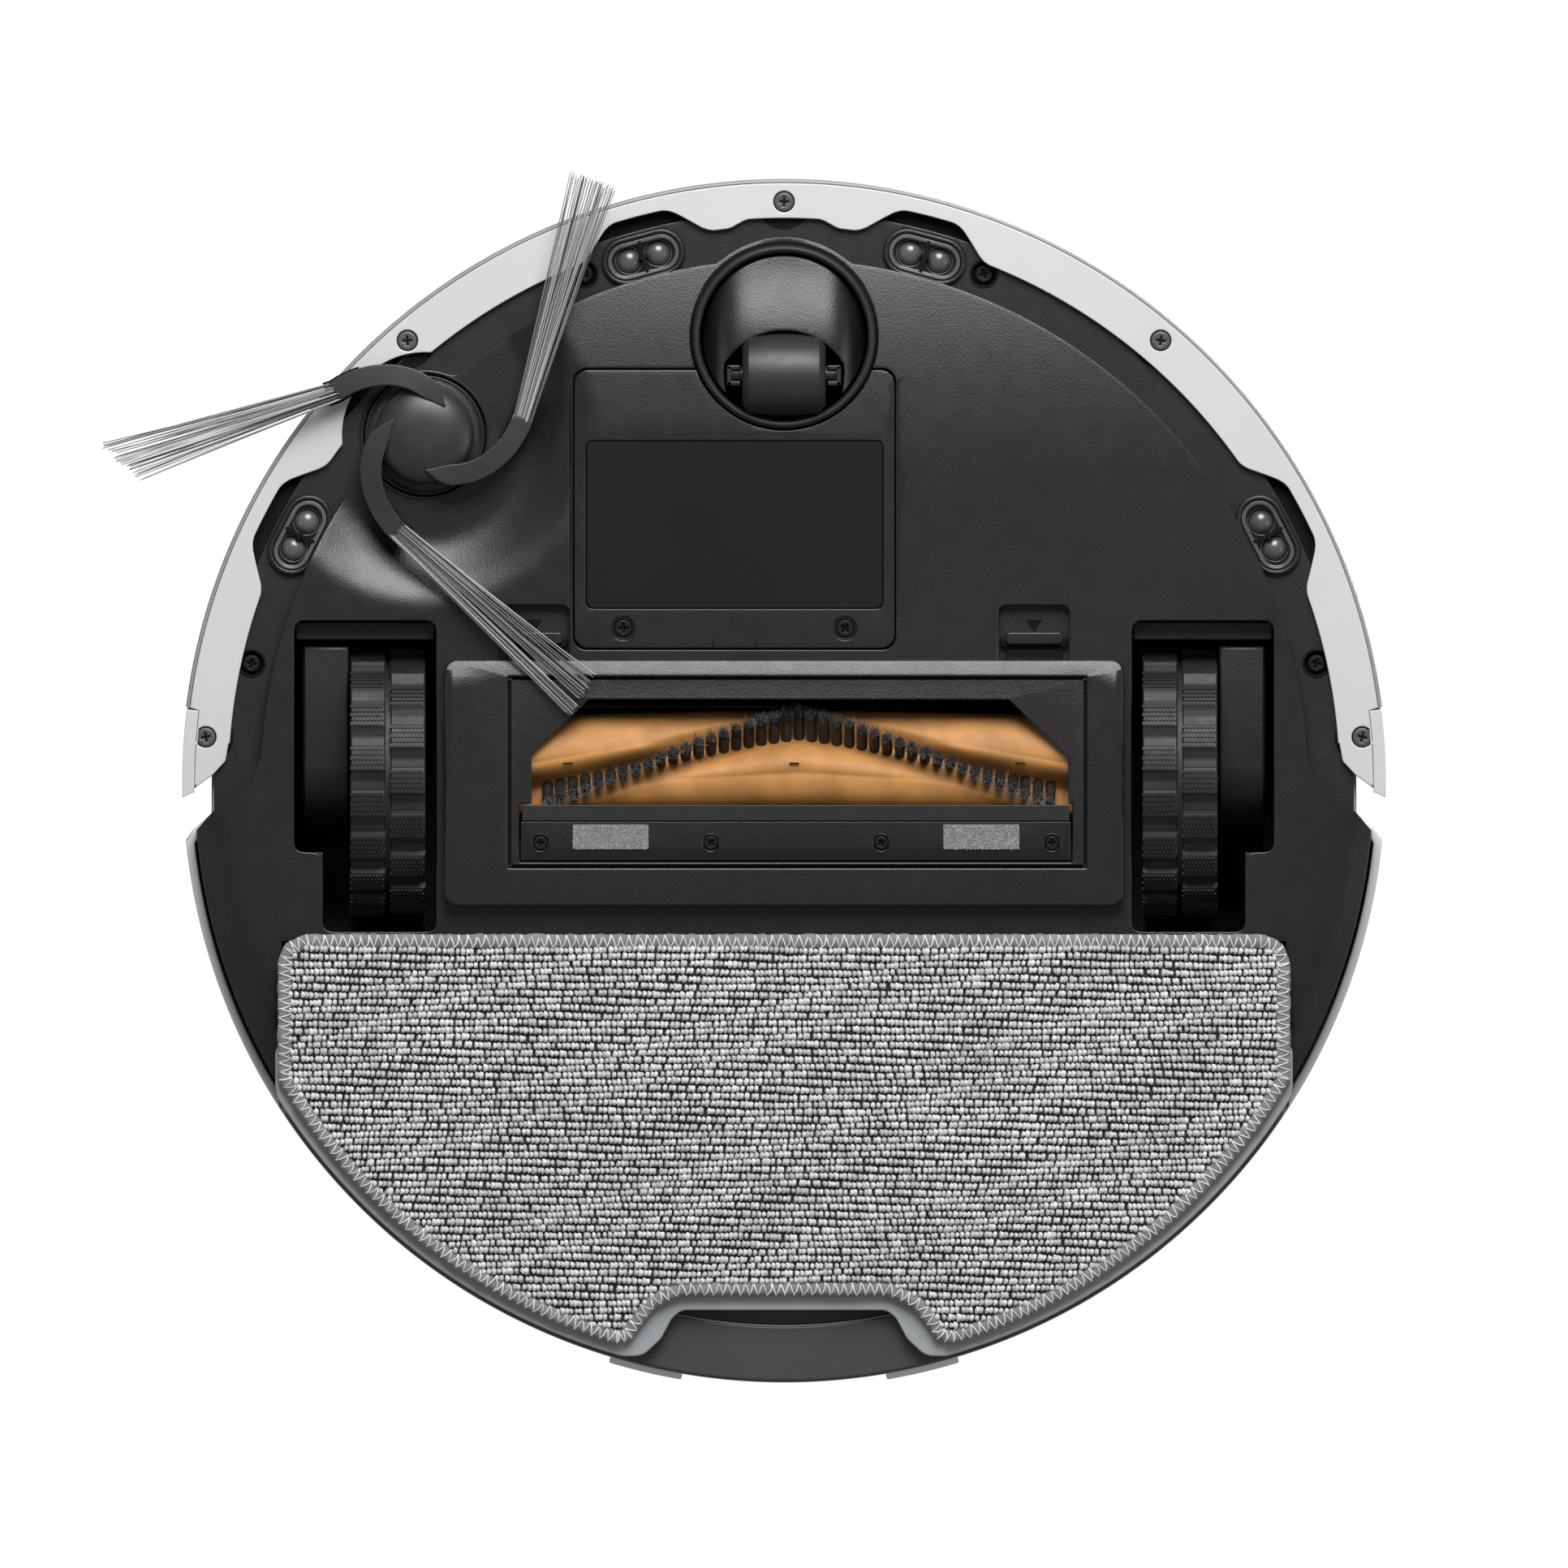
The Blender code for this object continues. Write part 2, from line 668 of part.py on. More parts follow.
def lidar(parent):
    base = [
        (0.0050 + 0.00006, 0.0875),
        (0.0400, 0.0875),
        (0.0400, COVER_TOP + GAP),
        (0.0297, COVER_TOP + GAP),
        (0.0297, 0.0700),
        (0.0050 + 0.00006, 0.0700),
    ]
    finish(turned("lidar_base", base, (*LIDAR, 0.0), 28), "dark_plastic", parent)
    posts = [
        rod("post", 0.0022, 0.0110, (*polar(0.0370, b, LIDAR), 0.0932), segments=8)
        for b in (45, 135, 225, 315)
    ]
    cap = turned(
        "lidar_cover",
        [(0.0, 0.1010), (0.0370, 0.1010), (0.0400, 0.0980), (0.0400, 0.0968), (0.0, 0.0968)],
        (*LIDAR, 0.0),
        28,
    )
    finish(join(cap, *posts), "white_plastic", parent)
    head = [
        (0.0, 0.0964),
        (0.0290, 0.0964),
        (0.0290, 0.0880),
        (0.0050, 0.0880),
        (0.0050, 0.0720),
        (0.0, 0.0720),
    ]
    rotor = turned("lidar_rotor", head, (*LIDAR, 0.0), 20)
    y = LIDAR[1]
    lens = box("lens_slot", (-0.0140, y - 0.0350, 0.0895), (0.0140, y - 0.0230, 0.0950))
    finish(cut(rotor, lens), "dark_plastic", parent, (*LIDAR, 0.0))


def buttons(parent):
    profile = [(0.0, 0.0862), (0.0070, 0.0862), (0.0079, 0.0853), (0.0079, 0.0805), (0.0, 0.0805)]
    for name, x in (("home_button", -0.0200), ("power_button", 0.0200)):
        button = turned(name, profile, (x, 0.0200, 0.0), 16)
        finish(button, "white_plastic", parent, (x, 0.0200, 0.0862))


# ---------------------------------------------------------------- bumper


LIP_EDGE = [
    (0.0, 0.1636), (4.2, 0.1636), (5.2, 0.1613), (7.9, 0.1613), (11.5, 0.1695), (17.5, 0.1695),
    (21.0, 0.1613), (55.5, 0.1613), (59.2, 0.1695), (65.8, 0.1695), (69.8, 0.1613), (86.2, 0.1613),
]


def lip_inner(sign):
    """The lip's inner edge from front to side, with notches for the sensors and the side brush."""
    bearings = sorted({b for b, _ in LIP_EDGE} | {float(b) for b in range(0, 87, 4)})
    points = []
    for bearing in bearings:
        radius = max(between(LIP_EDGE, bearing), past_circle(sign * bearing, HUB, 0.0240))
        points.append(polar(radius, sign * bearing))
    return points


def bumper(parent):
    tail = [(0.1706, 0.0009), (0.1659, -0.0031), (0.1635, -0.0062)]
    outer = arc(0.1740, 0, 82.9, 18) + arc(0.1708, 83.2, 90.0, 3) + tail
    right = outer + lip_inner(1)[::-1]
    left = [(-x, y) for x, y in outer] + lip_inner(-1)[::-1]
    outline = right[:-1] + left[::-1][:-1]
    lip = plate("lip", [outline], 0.0153, 0.0175)
    shell = plate("bumper_shell", [band(0.1726, BUMPER_RADIUS, -82.9, 82.9, 40)], 0.0152, 0.0819)
    finish(join(shell, lip), "white_plastic", parent)
    for name, sign in (("bumper_trim_left", -1), ("bumper_trim_right", 1)):
        shape = band(0.1712, 0.1747, 83.4, 91.5, 4)
        trim = plate(name, [shape if sign > 0 else flip(shape)], 0.0152, 0.0819)
        finish(trim, "white_plastic", parent)


def bumper_springs(parent):
    for name, x in (("bumper_spring_left", -0.0200), ("bumper_spring_right", 0.0200)):
        spring = coil(name, (x, -0.1703, 0.0500), (x, -0.1645, 0.0500), 0.0030, 0.0004, 3, "Y")
        finish(spring, "steel", parent)


# ---------------------------------------------------------------- running gear


def wheel_carrier(name, side, parent):
    """A box round the wheel, open below, screwed down over the chassis opening."""
    carrier = plate(name, [well_outline(side, 0.0010)], CHASSIS_TOP + GAP, 0.0792)
    inside = plate("inside", [well_outline(side)], 0.0100, 0.0780)
    pin = rod("pin_hole", BORE_RADIUS, 0.0100, (side * 0.1427, *ARM_PIVOT), "X", 16)
    finish(cut(carrier, inside, pin), "black_plastic", parent)


def drive_arm(name, side, parent):
    """The gearbox arm: hung from a pin at the front, carrying the wheel's axle."""
    shape = bmesh.new()
    rounds = ((ARM_PIVOT, 0.0070), ((0.0, WHEEL_RADIUS), 0.0120), ((0.0066, 0.0280), 0.0106))
    for centre, radius in rounds:
        for y, z in circle(radius, 20, centre):
            for x in (side * 0.1330 - 0.0067, side * 0.1330 + 0.0067):
                shape.verts.new((x, y, z))
    hull = bmesh.ops.convex_hull(shape, input=shape.verts)
    inner = [v for v in hull["geom_interior"] if isinstance(v, bmesh.types.BMVert)]
    bmesh.ops.delete(shape, geom=inner, context="VERTS")
    bmesh.ops.recalc_face_normals(shape, faces=shape.faces)
    arm = from_shape(name, shape)
    pin = rod("pin", AXLE_RADIUS, 0.0060, (side * 0.1405, *ARM_PIVOT), "X", 16)
    axle = rod("axle", AXLE_RADIUS, 0.0240, (side * 0.1160, 0.0, WHEEL_RADIUS), "X", 16)
    seat = rod("spring_seat", 0.0030, 0.0120, (side * 0.1330, 0.0, 0.0530), "Z", 12)
    origin = (side * 0.1330, *ARM_PIVOT)
    finish(join(arm, pin, axle, seat), "black_plastic", parent, origin)


def wheel(side_name, side, parent):
    origin = (side * WHEEL_X, 0.0, WHEEL_RADIUS)
    profile = [
        (BORE_RADIUS, 0.0106),
        (0.0300, 0.0106),
        (0.0300, -0.0106),
        (0.0270, -0.0106),
        (0.0270, -0.0020),
        (0.0080, -0.0020),
        (0.0080, -0.0106),
        (BORE_RADIUS, -0.0106),
    ]
    if side < 0:
        profile = [(radius, -height) for radius, height in reversed(profile)]
    hub = turned("wheel_hub_" + side_name, profile, origin, 24, "X")
    finish(hub, "dark_plastic", parent, origin)
    rim = plate(
        "tyre_" + side_name,
        [circle(0.0366, 36, (0.0, WHEEL_RADIUS)), circle(0.0307, 24, (0.0, WHEEL_RADIUS))],
        side * WHEEL_X - 0.0020,
        side * WHEEL_X + 0.0020,
        "X",
    )
    row_width = (WHEEL_WIDTH - 0.0014) / 2
    cleat = ((-0.30, 0.0375), (-0.24, WHEEL_RADIUS), (0.24, WHEEL_RADIUS), (0.30, 0.0375))
    rows = []
    for offset, shift in ((-1, 0.0), (1, 0.5)):
        middle = side * WHEEL_X + offset * (row_width + 0.0014) / 2
        points = [
            (
                radius * sin(2 * pi * (i + shift + step) / CLEATS),
                WHEEL_RADIUS - radius * cos(2 * pi * (i + shift + step) / CLEATS),
            )
            for i in range(CLEATS)
            for step, radius in cleat
        ]
        outlines = [points, circle(0.0305, 24, (0.0, WHEEL_RADIUS))]
        rows.append(plate("cleats", outlines, middle - row_width / 2, middle + row_width / 2, "X"))
    finish(join(rim, *rows), "tyre_rubber", parent, origin)


def suspension_spring(name, side, parent):
    start = (side * 0.1330, 0.0, 0.0530)
    end = (side * 0.1330, 0.0, 0.0777)
    finish(coil(name, start, end, 0.0044, 0.0006, 4, "Z"), "steel", parent)


def caster(parent):
    x, y = CASTER
    profile = [
        (0.0, 0.0480),
        (0.0040, 0.0480),
        (0.0040, 0.0372),
        (0.0238, 0.0372),
        (0.0238, 0.0170),
        (0.0225, 0.0125),
        (0.0190, 0.0095),
        (0.0130, 0.0080),
        (0.0, 0.0075),
    ]
    fork = turned("caster_fork", profile, (x, y, 0.0), 28)
    rear = y + 0.0300
    slot = box("wheel_slot", (-0.0133, CASTER_WHEEL_Y - 0.0160, -0.0010), (0.0133, rear, 0.0320))
    open_left = box("relief", (-0.0300, y + 0.0040, -0.0010), (-0.0168, rear, 0.0240))
    open_right = box("relief", (0.0168, y + 0.0040, -0.0010), (0.0300, rear, 0.0240))
    origin = (0.0, CASTER_WHEEL_Y, CASTER_WHEEL_RADIUS)
    bore = rod("axle_hole", AXLE_RADIUS + 0.0003, 0.0600, origin, "X", 16)
    finish(cut(fork, slot, open_left, open_right, bore), "black_plastic", parent, (x, y, 0.0))
    axle = rod("caster_axle", 0.0025, 0.0324, origin, "X", 16)
    finish(axle, "steel", parent, origin)
    tread = [
        (0.00256, 0.0121),
        (0.0090, 0.0121),
        (0.0113, 0.0090),
        (CASTER_WHEEL_RADIUS, 0.0055),
        (CASTER_WHEEL_RADIUS, -0.0055),
        (0.0113, -0.0090),
        (0.0090, -0.0121),
        (0.00256, -0.0121),
    ]
    finish(turned("caster_wheel", tread, origin, 24, "X"), "tyre_rubber", parent, origin)


# ---------------------------------------------------------------- brushes


def bristle_angle(x):
    """Where the V-shaped row lies round the roller, in radians from straight down."""
    return radians(-60.0 + 1.20 * abs(x - ROLLER_X) * 1000)


def on_roller(x, radius, angle):
    """A point at an angle from straight down, positive towards the rear."""
    return Vector((x, ROLLER_Y + radius * sin(angle), ROLLER_Z - radius * cos(angle)))


def roller(parent):
    """A rubber cylinder with V-shaped fins and a groove that holds the bristle row."""
    stations = 12
    shape = bmesh.new()
    bmesh.ops.create_cone(shape, cap_ends=True, segments=30, radius1=1.0, radius2=1.0,
                          depth=2 * ROLLER_HALF_LENGTH, matrix=AXES["X"])
    long_edges = [e for e in shape.edges if abs(e.verts[0].co.x - e.verts[1].co.x) > 0.01]
    bmesh.ops.subdivide_edges(shape, edges=long_edges, cuts=stations - 1)
    for vert in shape.verts:
        x = ROLLER_X + vert.co.x
        angle = Vector((-vert.co.z, vert.co.y)).angle_signed(Vector((1.0, 0.0)), 0.0)
        from_row = (angle - bristle_angle(x) + pi) % (2 * pi) - pi
        fins = 0.5 + 0.5 * cos(6 * from_row)
        radius = ROLLER_RADIUS - 0.0022 * fins
        if abs(from_row) < 0.35:
            radius = BRISTLE_ROOT - 0.0014
        vert.co = on_roller(x, radius, angle)
    core = from_shape("roller_core", shape)
    origin = (ROLLER_X, ROLLER_Y, ROLLER_Z)
    pins = rod("pins", AXLE_RADIUS, 2 * ROLLER_HALF_LENGTH + 0.0060, origin, "X", 16)
    finish(join(core, pins), "orange_rubber", parent, origin)


def bristle_row(parent):
    """A strip along the V with one stub for each tuft."""
    half = TUFT_PITCH * (TUFTS - 1) / 2 + 0.0020
    shape = bmesh.new()
    place = Matrix.Translation((ROLLER_X, 0, 0)) @ Matrix.Diagonal((2 * half, 1, 1, 1))
    bmesh.ops.create_cube(shape, size=1.0, matrix=place)
    long_edges = [e for e in shape.edges if abs(e.verts[0].co.x - e.verts[1].co.x) > 0.01]
    bmesh.ops.subdivide_edges(shape, edges=long_edges, cuts=15)
    for vert in shape.verts:
        radius = BRISTLE_ROOT + (0.0008 if vert.co.z > 0 else -0.0006)
        spread = 0.0015 / radius * (1 if vert.co.y > 0 else -1)
        vert.co = on_roller(vert.co.x, radius, bristle_angle(vert.co.x) + spread)
    bmesh.ops.recalc_face_normals(shape, faces=shape.faces)
    strip = from_shape("bristle_row", shape)
    stubs = bmesh.new()
    for i in range(TUFTS):
        x = ROLLER_X + (i - (TUFTS - 1) / 2) * TUFT_PITCH
        angle = bristle_angle(x)
        root = on_roller(x, BRISTLE_ROOT + 0.0002, angle)
        tip = on_roller(x, BRISTLE_TIP, angle)
        turn = (tip - root).to_track_quat("Z", "X").to_matrix().to_4x4()
        bmesh.ops.create_cone(stubs, cap_ends=True, segments=4, radius1=0.0011, radius2=0.0013,
                              depth=(tip - root).length,
                              matrix=Matrix.Translation((root + tip) / 2) @ turn)
    origin = (ROLLER_X, ROLLER_Y, ROLLER_Z)
    finish(join(strip, from_shape("stubs", stubs)), "bristle", parent, origin)


def brush_guard(parent):
    window = [
        (-0.0733, 0.0067), (-0.0733, -0.0077), (-0.0566, -0.0239),
        (0.0653, -0.0239), (0.0825, -0.0068), (0.0826, 0.0067),
    ]
    outer = rectangle(-0.0986, 0.0986, -0.0355, 0.0361, 0.0025)
    guard = plate("brush_guard", [outer], GUARD_Z, GUARD_TOP)
    guard = bevel_where(guard, lambda p: p.z < GUARD_Z + 1e-6, 0.0012, 1)
    tray = plate("tray", [inset(outer, 0.0020)], GUARD_Z + 0.0020, GUARD_TOP + 0.0010)
    mouth = plate("mouth", [window], 0.0, GUARD_TOP)
    seat = box("scraper_seat", (-0.0772, 0.0060, 0.0040), (0.0841, 0.0235, 0.0062))
    finish(cut(guard, tray, mouth, seat), "black_plastic", parent, (0.0, 0.0361, GUARD_TOP))
    strip = box("scraper_strip", (-0.0764, 0.0067, 0.0048), (0.0833, 0.0229, 0.0059))
    lip = box("lip", (-0.0760, 0.0068, 0.0042), (0.0829, 0.0113, 0.0054))
    finish(join(strip, lip), "dark_plastic", parent, (0.0, 0.0361, GUARD_TOP))


def latch(name, side, parent):
    """A push tab behind a finger hollow."""
    x = side * 0.0726
    body = box(name, (x - 0.0098, -0.0506, 0.0112), (x + 0.0098, -0.0388, 0.0170))
    hollow = box("finger", (x - 0.0080, -0.0520, 0.0100), (x + 0.0080, -0.0434, 0.0145))
    finish(cut(body, hollow), "black_plastic", parent, (x, -0.0450, 0.0112))


def side_brush(parent):
    profile = [
        (0.0, 0.0320),
        (0.0030, 0.0320),
        (0.0030, 0.0135),
        (0.0143, 0.0135),
        (0.0143, 0.0095),
        (0.0130, 0.0070),
        (0.0095, 0.0055),
        (0.0, 0.0050),
    ]
    hub = turned("side_brush_hub", profile, (*HUB, 0.0), 24)
    arms = []
    tufts = []
    for i, (tip_angle, line_angle, slant) in enumerate(SIDE_TIPS):
        tip = Vector((cos(radians(tip_angle)), sin(radians(tip_angle)))) * SIDE_TUFT_REACH
        line = Vector((cos(radians(line_angle)), sin(radians(line_angle))))
        along = tip.dot(line)
        length = along - sqrt(along * along - tip.length_squared + SIDE_ARM_REACH ** 2)
        root = tip - line * length
        arms.append(side_arm(root, line))
        tufts.append(side_tuft(f"side_brush_tuft_{i + 1}", root, line, length, slant))
    finish(join(hub, *arms), "dark_plastic", parent, (*HUB, 0.0))
    for tuft in tufts:
        finish(tuft, "pale_bristle", parent, (*HUB, 0.0))


def side_arm(root, line):
    """A curved arm that leaves the hub sideways and turns into the tuft's line."""
    start = Vector((root.y, -root.x)).normalized() * 0.0100
    if start.dot(line) > 0:
        start = -start
    steps = 6
    left, right = [], []
    for i in range(steps + 1):
        t = i / steps
        bend = root - line * 0.0150
        point = start * (1 - t) ** 2 + bend * 2 * t * (1 - t) + root * t ** 2
        slope = ((bend - start) * (1 - t) + (root - bend) * t).normalized()
        normal = Vector((-slope.y, slope.x)) * 0.0032
        left.append((HUB[0] + point.x + normal.x, HUB[1] + point.y + normal.y))
        right.append((HUB[0] + point.x - normal.x, HUB[1] + point.y - normal.y))
    return plate("arm", [left + right[::-1]], 0.0062, 0.0102)


def side_tuft(name, root, line, length, slant):
    """A flat bundle that widens and slopes down to the floor."""
    shape = bmesh.new()
    bmesh.ops.create_cube(shape, size=1.0)
    long_edges = [e for e in shape.edges if abs(e.verts[0].co.x - e.verts[1].co.x) > 0.5]
    bmesh.ops.subdivide_edges(shape, edges=long_edges, cuts=3)
    across = Vector((-line.y, line.x))
    for vert in shape.verts:
        t = vert.co.x + 0.5
        reach = GAP + (length - GAP) * t + slant * t * vert.co.y
        width = 0.0056 + 0.0084 * t
        height = 0.0078 - 0.0056 * t + 0.0024 * (1 - 0.3 * t) * vert.co.z
        flat = Vector(HUB) + root + line * reach + across * width * vert.co.y
        vert.co = (flat.x, flat.y, height)
    return from_shape(name, shape)


# ---------------------------------------------------------------- tank, mop and bin


def water_tank(parent):
    side = wing_bearing(0.0970, 0.1743)
    notch = 180 - degrees(asin(0.0227 / 0.1743))
    half = [(0.1449, 0.0471)] + arc(0.1743, side, notch, 16) + [(0.0227, 0.1630)]
    outline = mirrored(half)
    body = plate("water_tank", [outline], TANK_Z, TANK_TOP)
    inside = plate("inside", [inset(outline, 0.0022)], TANK_Z + 0.0022, TANK_TOP - 0.0022)
    filler = rod("filler", 0.0110, 0.0100, (0.0800, 0.0800, TANK_TOP), segments=20)
    finish(cut(body, join(inside, filler)), "grey_plastic", parent, (0.0, 0.0471, TANK_Z))
    rear = mirrored([(0.0224, 0.1656)] + arc(0.1743, 180 - degrees(asin(0.0224 / 0.1743)), 180, 3))
    key = plate("tank_button", [rear], TANK_Z + 0.0002, TANK_TOP - 0.0002)
    finish(key, "grey_plastic", parent, (0.0, 0.1743, 0.0225))


def mop_plate(parent):
    half = [(0.1380, 0.0460), (0.1440, 0.0485), (0.1462, 0.0545)]
    half += [(0.1462, 0.0760), (0.1477, 0.0780), (0.1477, 0.0884)]
    half += arc(0.1734, 122.0, 163.0, 12)
    half += [(0.0470, 0.1669), (0.0410, 0.1668), (0.0356, 0.1617), (0.0325, 0.1557), (0.0297, 0.1535)]
    board = plate("mop_plate", [mirrored(half)], PLATE_Z, PLATE_TOP)
    finish(board, "grey_plastic", parent, (0.0, 0.0460, PLATE_Z))


def mop_pad(parent):
    half = [(0.1390, 0.0443), (0.1447, 0.0466), (0.1470, 0.0523), (0.1470, 0.0865)]
    half += arc(0.1706, 120.8, 163.4, 12)
    half += [(0.0445, 0.1626), (0.0416, 0.1581), (0.0373, 0.1527), (0.0302, 0.1494)]
    finish(plate("mop_pad", [mirrored(half)], 0.0, PAD_THICKNESS), "mop_cloth", parent, (0.0, 0.0443, 0.0))


def dust_bin(parent):
    x = BIN_X
    y0, y1 = BIN_Y
    tub = plate("dust_bin", [rectangle(-x, x, y0, y1, 0.004)], 0.0393, 0.0820)
    inside = rectangle(-x + 0.002, x - 0.002, y0 + 0.002, y1 - 0.002, 0.003)
    hollow = plate("hollow", [inside], 0.0415, 0.0900)
    inlet = box("inlet", (-0.0280, y0 - 0.0050, 0.0440), (0.0380, y0 + 0.0050, 0.0540))
    outlet = box("outlet", (x - 0.0050, 0.0700, 0.0500), (x + 0.0050, 0.1000, 0.0700))
    finish(cut(tub, hollow, inlet, outlet), "dark_plastic", parent, (0.0, y0, 0.0393))
    lid = plate("dust_bin_lid", [rectangle(-x, x, y0, y1, 0.004)], 0.0823, COVER_TOP)
    grip = plate("grip", [rectangle(-0.0200, 0.0200, 0.1040, 0.1120, 0.003)], 0.0838, 0.0900)
    finish(cut(lid, grip), "white_plastic", parent, (0.0, y0, COVER_TOP))


# ---------------------------------------------------------------- assembly


def build():
    start_scene()
    body = add("body_axis", None)
    body.location = BODY_AXIS
    bottom_chassis(body)
    upper_housing(body)
    top_cover(body)
    rear_frame(body)
    battery(body)
    caster_socket(body)
    side_brush_gearbox(body)
    brush_housing(body)
    brush_motor(body)
    main_board(body)
    fan(body)
    charging_contacts(body)
    cliff_sensors(body)
    lidar(body)
    buttons(body)
    bumper(body)
    bumper_springs(body)
    for name, side in (("left", -1), ("right", 1)):
        wheel_carrier("wheel_carrier_" + name, side, body)
        drive_arm("drive_arm_" + name, side, body)
        wheel(name, side, body)
        suspension_spring("suspension_spring_" + name, side, body)
        latch("guard_latch_" + name, side, body)
    caster(body)
    roller(body)
    bristle_row(body)
    brush_guard(body)
    side_brush(body)
    water_tank(body)
    mop_plate(body)
    mop_pad(body)
    dust_bin(body)
    bpy.context.view_layer.update()


build()
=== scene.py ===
import json
from math import acos, asin, atan2, cos, degrees, hypot, pi, radians, sin, sqrt, tan

import bmesh
import bpy
import numpy as np
from mathutils import Matrix, Vector
from mathutils.geometry import delaunay_2d_cdt


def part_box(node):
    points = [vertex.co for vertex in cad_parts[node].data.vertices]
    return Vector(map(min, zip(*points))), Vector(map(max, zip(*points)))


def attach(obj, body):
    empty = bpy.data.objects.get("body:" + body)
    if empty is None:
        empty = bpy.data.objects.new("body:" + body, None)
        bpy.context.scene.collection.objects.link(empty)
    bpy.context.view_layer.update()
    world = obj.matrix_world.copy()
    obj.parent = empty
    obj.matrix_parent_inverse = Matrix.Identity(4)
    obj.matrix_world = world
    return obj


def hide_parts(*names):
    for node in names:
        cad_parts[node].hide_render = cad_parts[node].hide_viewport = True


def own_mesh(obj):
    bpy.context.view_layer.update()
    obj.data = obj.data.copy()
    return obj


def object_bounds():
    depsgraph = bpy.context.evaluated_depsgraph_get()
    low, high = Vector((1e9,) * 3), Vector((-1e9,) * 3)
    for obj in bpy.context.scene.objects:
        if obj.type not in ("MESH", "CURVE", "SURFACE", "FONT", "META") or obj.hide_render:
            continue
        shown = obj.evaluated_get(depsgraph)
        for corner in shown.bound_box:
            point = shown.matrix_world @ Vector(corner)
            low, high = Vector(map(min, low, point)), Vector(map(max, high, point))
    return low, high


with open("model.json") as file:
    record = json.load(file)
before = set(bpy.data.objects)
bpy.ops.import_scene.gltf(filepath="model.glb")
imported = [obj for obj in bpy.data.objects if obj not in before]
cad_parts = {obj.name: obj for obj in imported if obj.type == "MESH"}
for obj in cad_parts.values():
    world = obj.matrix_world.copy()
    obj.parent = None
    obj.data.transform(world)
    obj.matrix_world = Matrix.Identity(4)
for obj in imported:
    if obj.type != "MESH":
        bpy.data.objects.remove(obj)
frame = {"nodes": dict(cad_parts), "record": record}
cad_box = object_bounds()

# Lengths are in metres. Pieces are made about the round body's vertical axis and then moved onto it.
# Bearings are degrees round that axis, counted from the front (-Y) towards +X.
cover_low, cover_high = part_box("top_cover")
BODY = Vector(((cover_low.x + cover_high.x) / 2, (cover_low.y + cover_high.y) / 2, 0.0))


def place_of(node):
    """The lowest and highest corner of a CAD node, about the body's axis."""
    low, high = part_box(node)
    return low - BODY, high - BODY


MM = 0.001
BELLY_Z = place_of("bottom_chassis")[0].z
BELLY_RADIUS = 151.9 * MM
HOUSING_RADIUS = 174.5 * MM
TANK_RADIUS = 174.3 * MM
BUMPER_RADIUS = 175.0 * MM
BUMPER_END = 82.9
LIP_Z = place_of("bumper_shell")[0].z
HUB = (-104.3 * MM, -100.6 * MM)
CASTER = (0.0, -129.2 * MM)
CASTER_BITE = 27.2 * MM
SENSOR_BEARINGS = {"left_side": -63.0, "left_front": -15.0, "right_front": 15.0, "right_side": 63.0}
SENSOR_RADIUS = 157.7 * MM
BUMPER_SCREWS = (-85.6, -40.5, 0.0, 40.5, 85.6)
BUMPER_SCREW_RADIUS = 168.4 * MM
CHASSIS_SCREWS = (-77.5, -21.5, 21.5, 77.5)
CHASSIS_SCREW_RADIUS = 158.4 * MM
WHEEL = (place_of("tyre_right")[0] + place_of("tyre_right")[1]) / 2
WHEEL_RADIUS = WHEEL.z
ROLLER = (place_of("roller_core")[0] + place_of("roller_core")[1]) / 2
ROLLER.z = 23.3 * MM
GUARD_LOW, GUARD_HIGH = place_of("brush_guard")
PAD_LOW, PAD_HIGH = place_of("mop_pad")
HEM_WIDTH = 4.2 * MM
HUB_HOLE = 17.7 * MM
BATTERY_SCREWS = [(x * MM, -44.5 * MM) for x in (-46.7, 17.7)]
SCRAPER_SCREWS = [(x * MM, 17.8 * MM) for x in (-70.7, -21.2, 28.2, 77.8)]
LATCH_X = 72.6 * MM
ARM_X = 133.0 * MM
LIDAR = (0.0, -62.0 * MM, 0.0)
BUTTONS = (("home_button", -20.0 * MM), ("power_button", 20.0 * MM))
BUTTON_Y = 20.0 * MM
SIDES = (("left", -1), ("right", 1))
TUFTS, TUFT_PITCH = 41, 3.65 * MM

random = np.random.default_rng(7)


# ---------------------------------------------------------------- outlines


def polar(radius, bearing, centre=(0.0, 0.0)):
    """A point at a bearing and a distance from a centre."""
    angle = radians(bearing)
    return (centre[0] + radius * sin(angle), centre[1] - radius * cos(angle))


def arc(radius, start, end, steps, centre=(0.0, 0.0)):
    return [polar(radius, start + (end - start) * i / steps, centre) for i in range(steps + 1)]


def circle(radius, steps, centre):
    return arc(radius, 0, 360, steps, centre)[:-1]


def rectangle(x0, x1, y0, y1, radius=0.0, steps=6):
    if not radius:
        return [(x0, y0), (x1, y0), (x1, y1), (x0, y1)]
    corners = (
        (x1 - radius, y0 + radius, 0),
        (x1 - radius, y1 - radius, 90),
        (x0 + radius, y1 - radius, 180),
        (x0 + radius, y0 + radius, 270),
    )
    return [p for x, y, start in corners for p in arc(radius, start, start + 90, steps, (x, y))]


def stadium(length, width, bearing, centre):
    """A slot shape: two half circles joined by straight sides."""
    half = (length - width) / 2
    along = polar(half, bearing + 90)
    first = (centre[0] + along[0], centre[1] + along[1])
    second = (centre[0] - along[0], centre[1] - along[1])
    return (
        arc(width / 2, bearing, bearing + 180, 12, first)
        + arc(width / 2, bearing + 180, bearing + 360, 12, second)
    )


def mm(*points):
    """Points given in millimetres."""
    return [(x * MM, y * MM) for x, y in points]


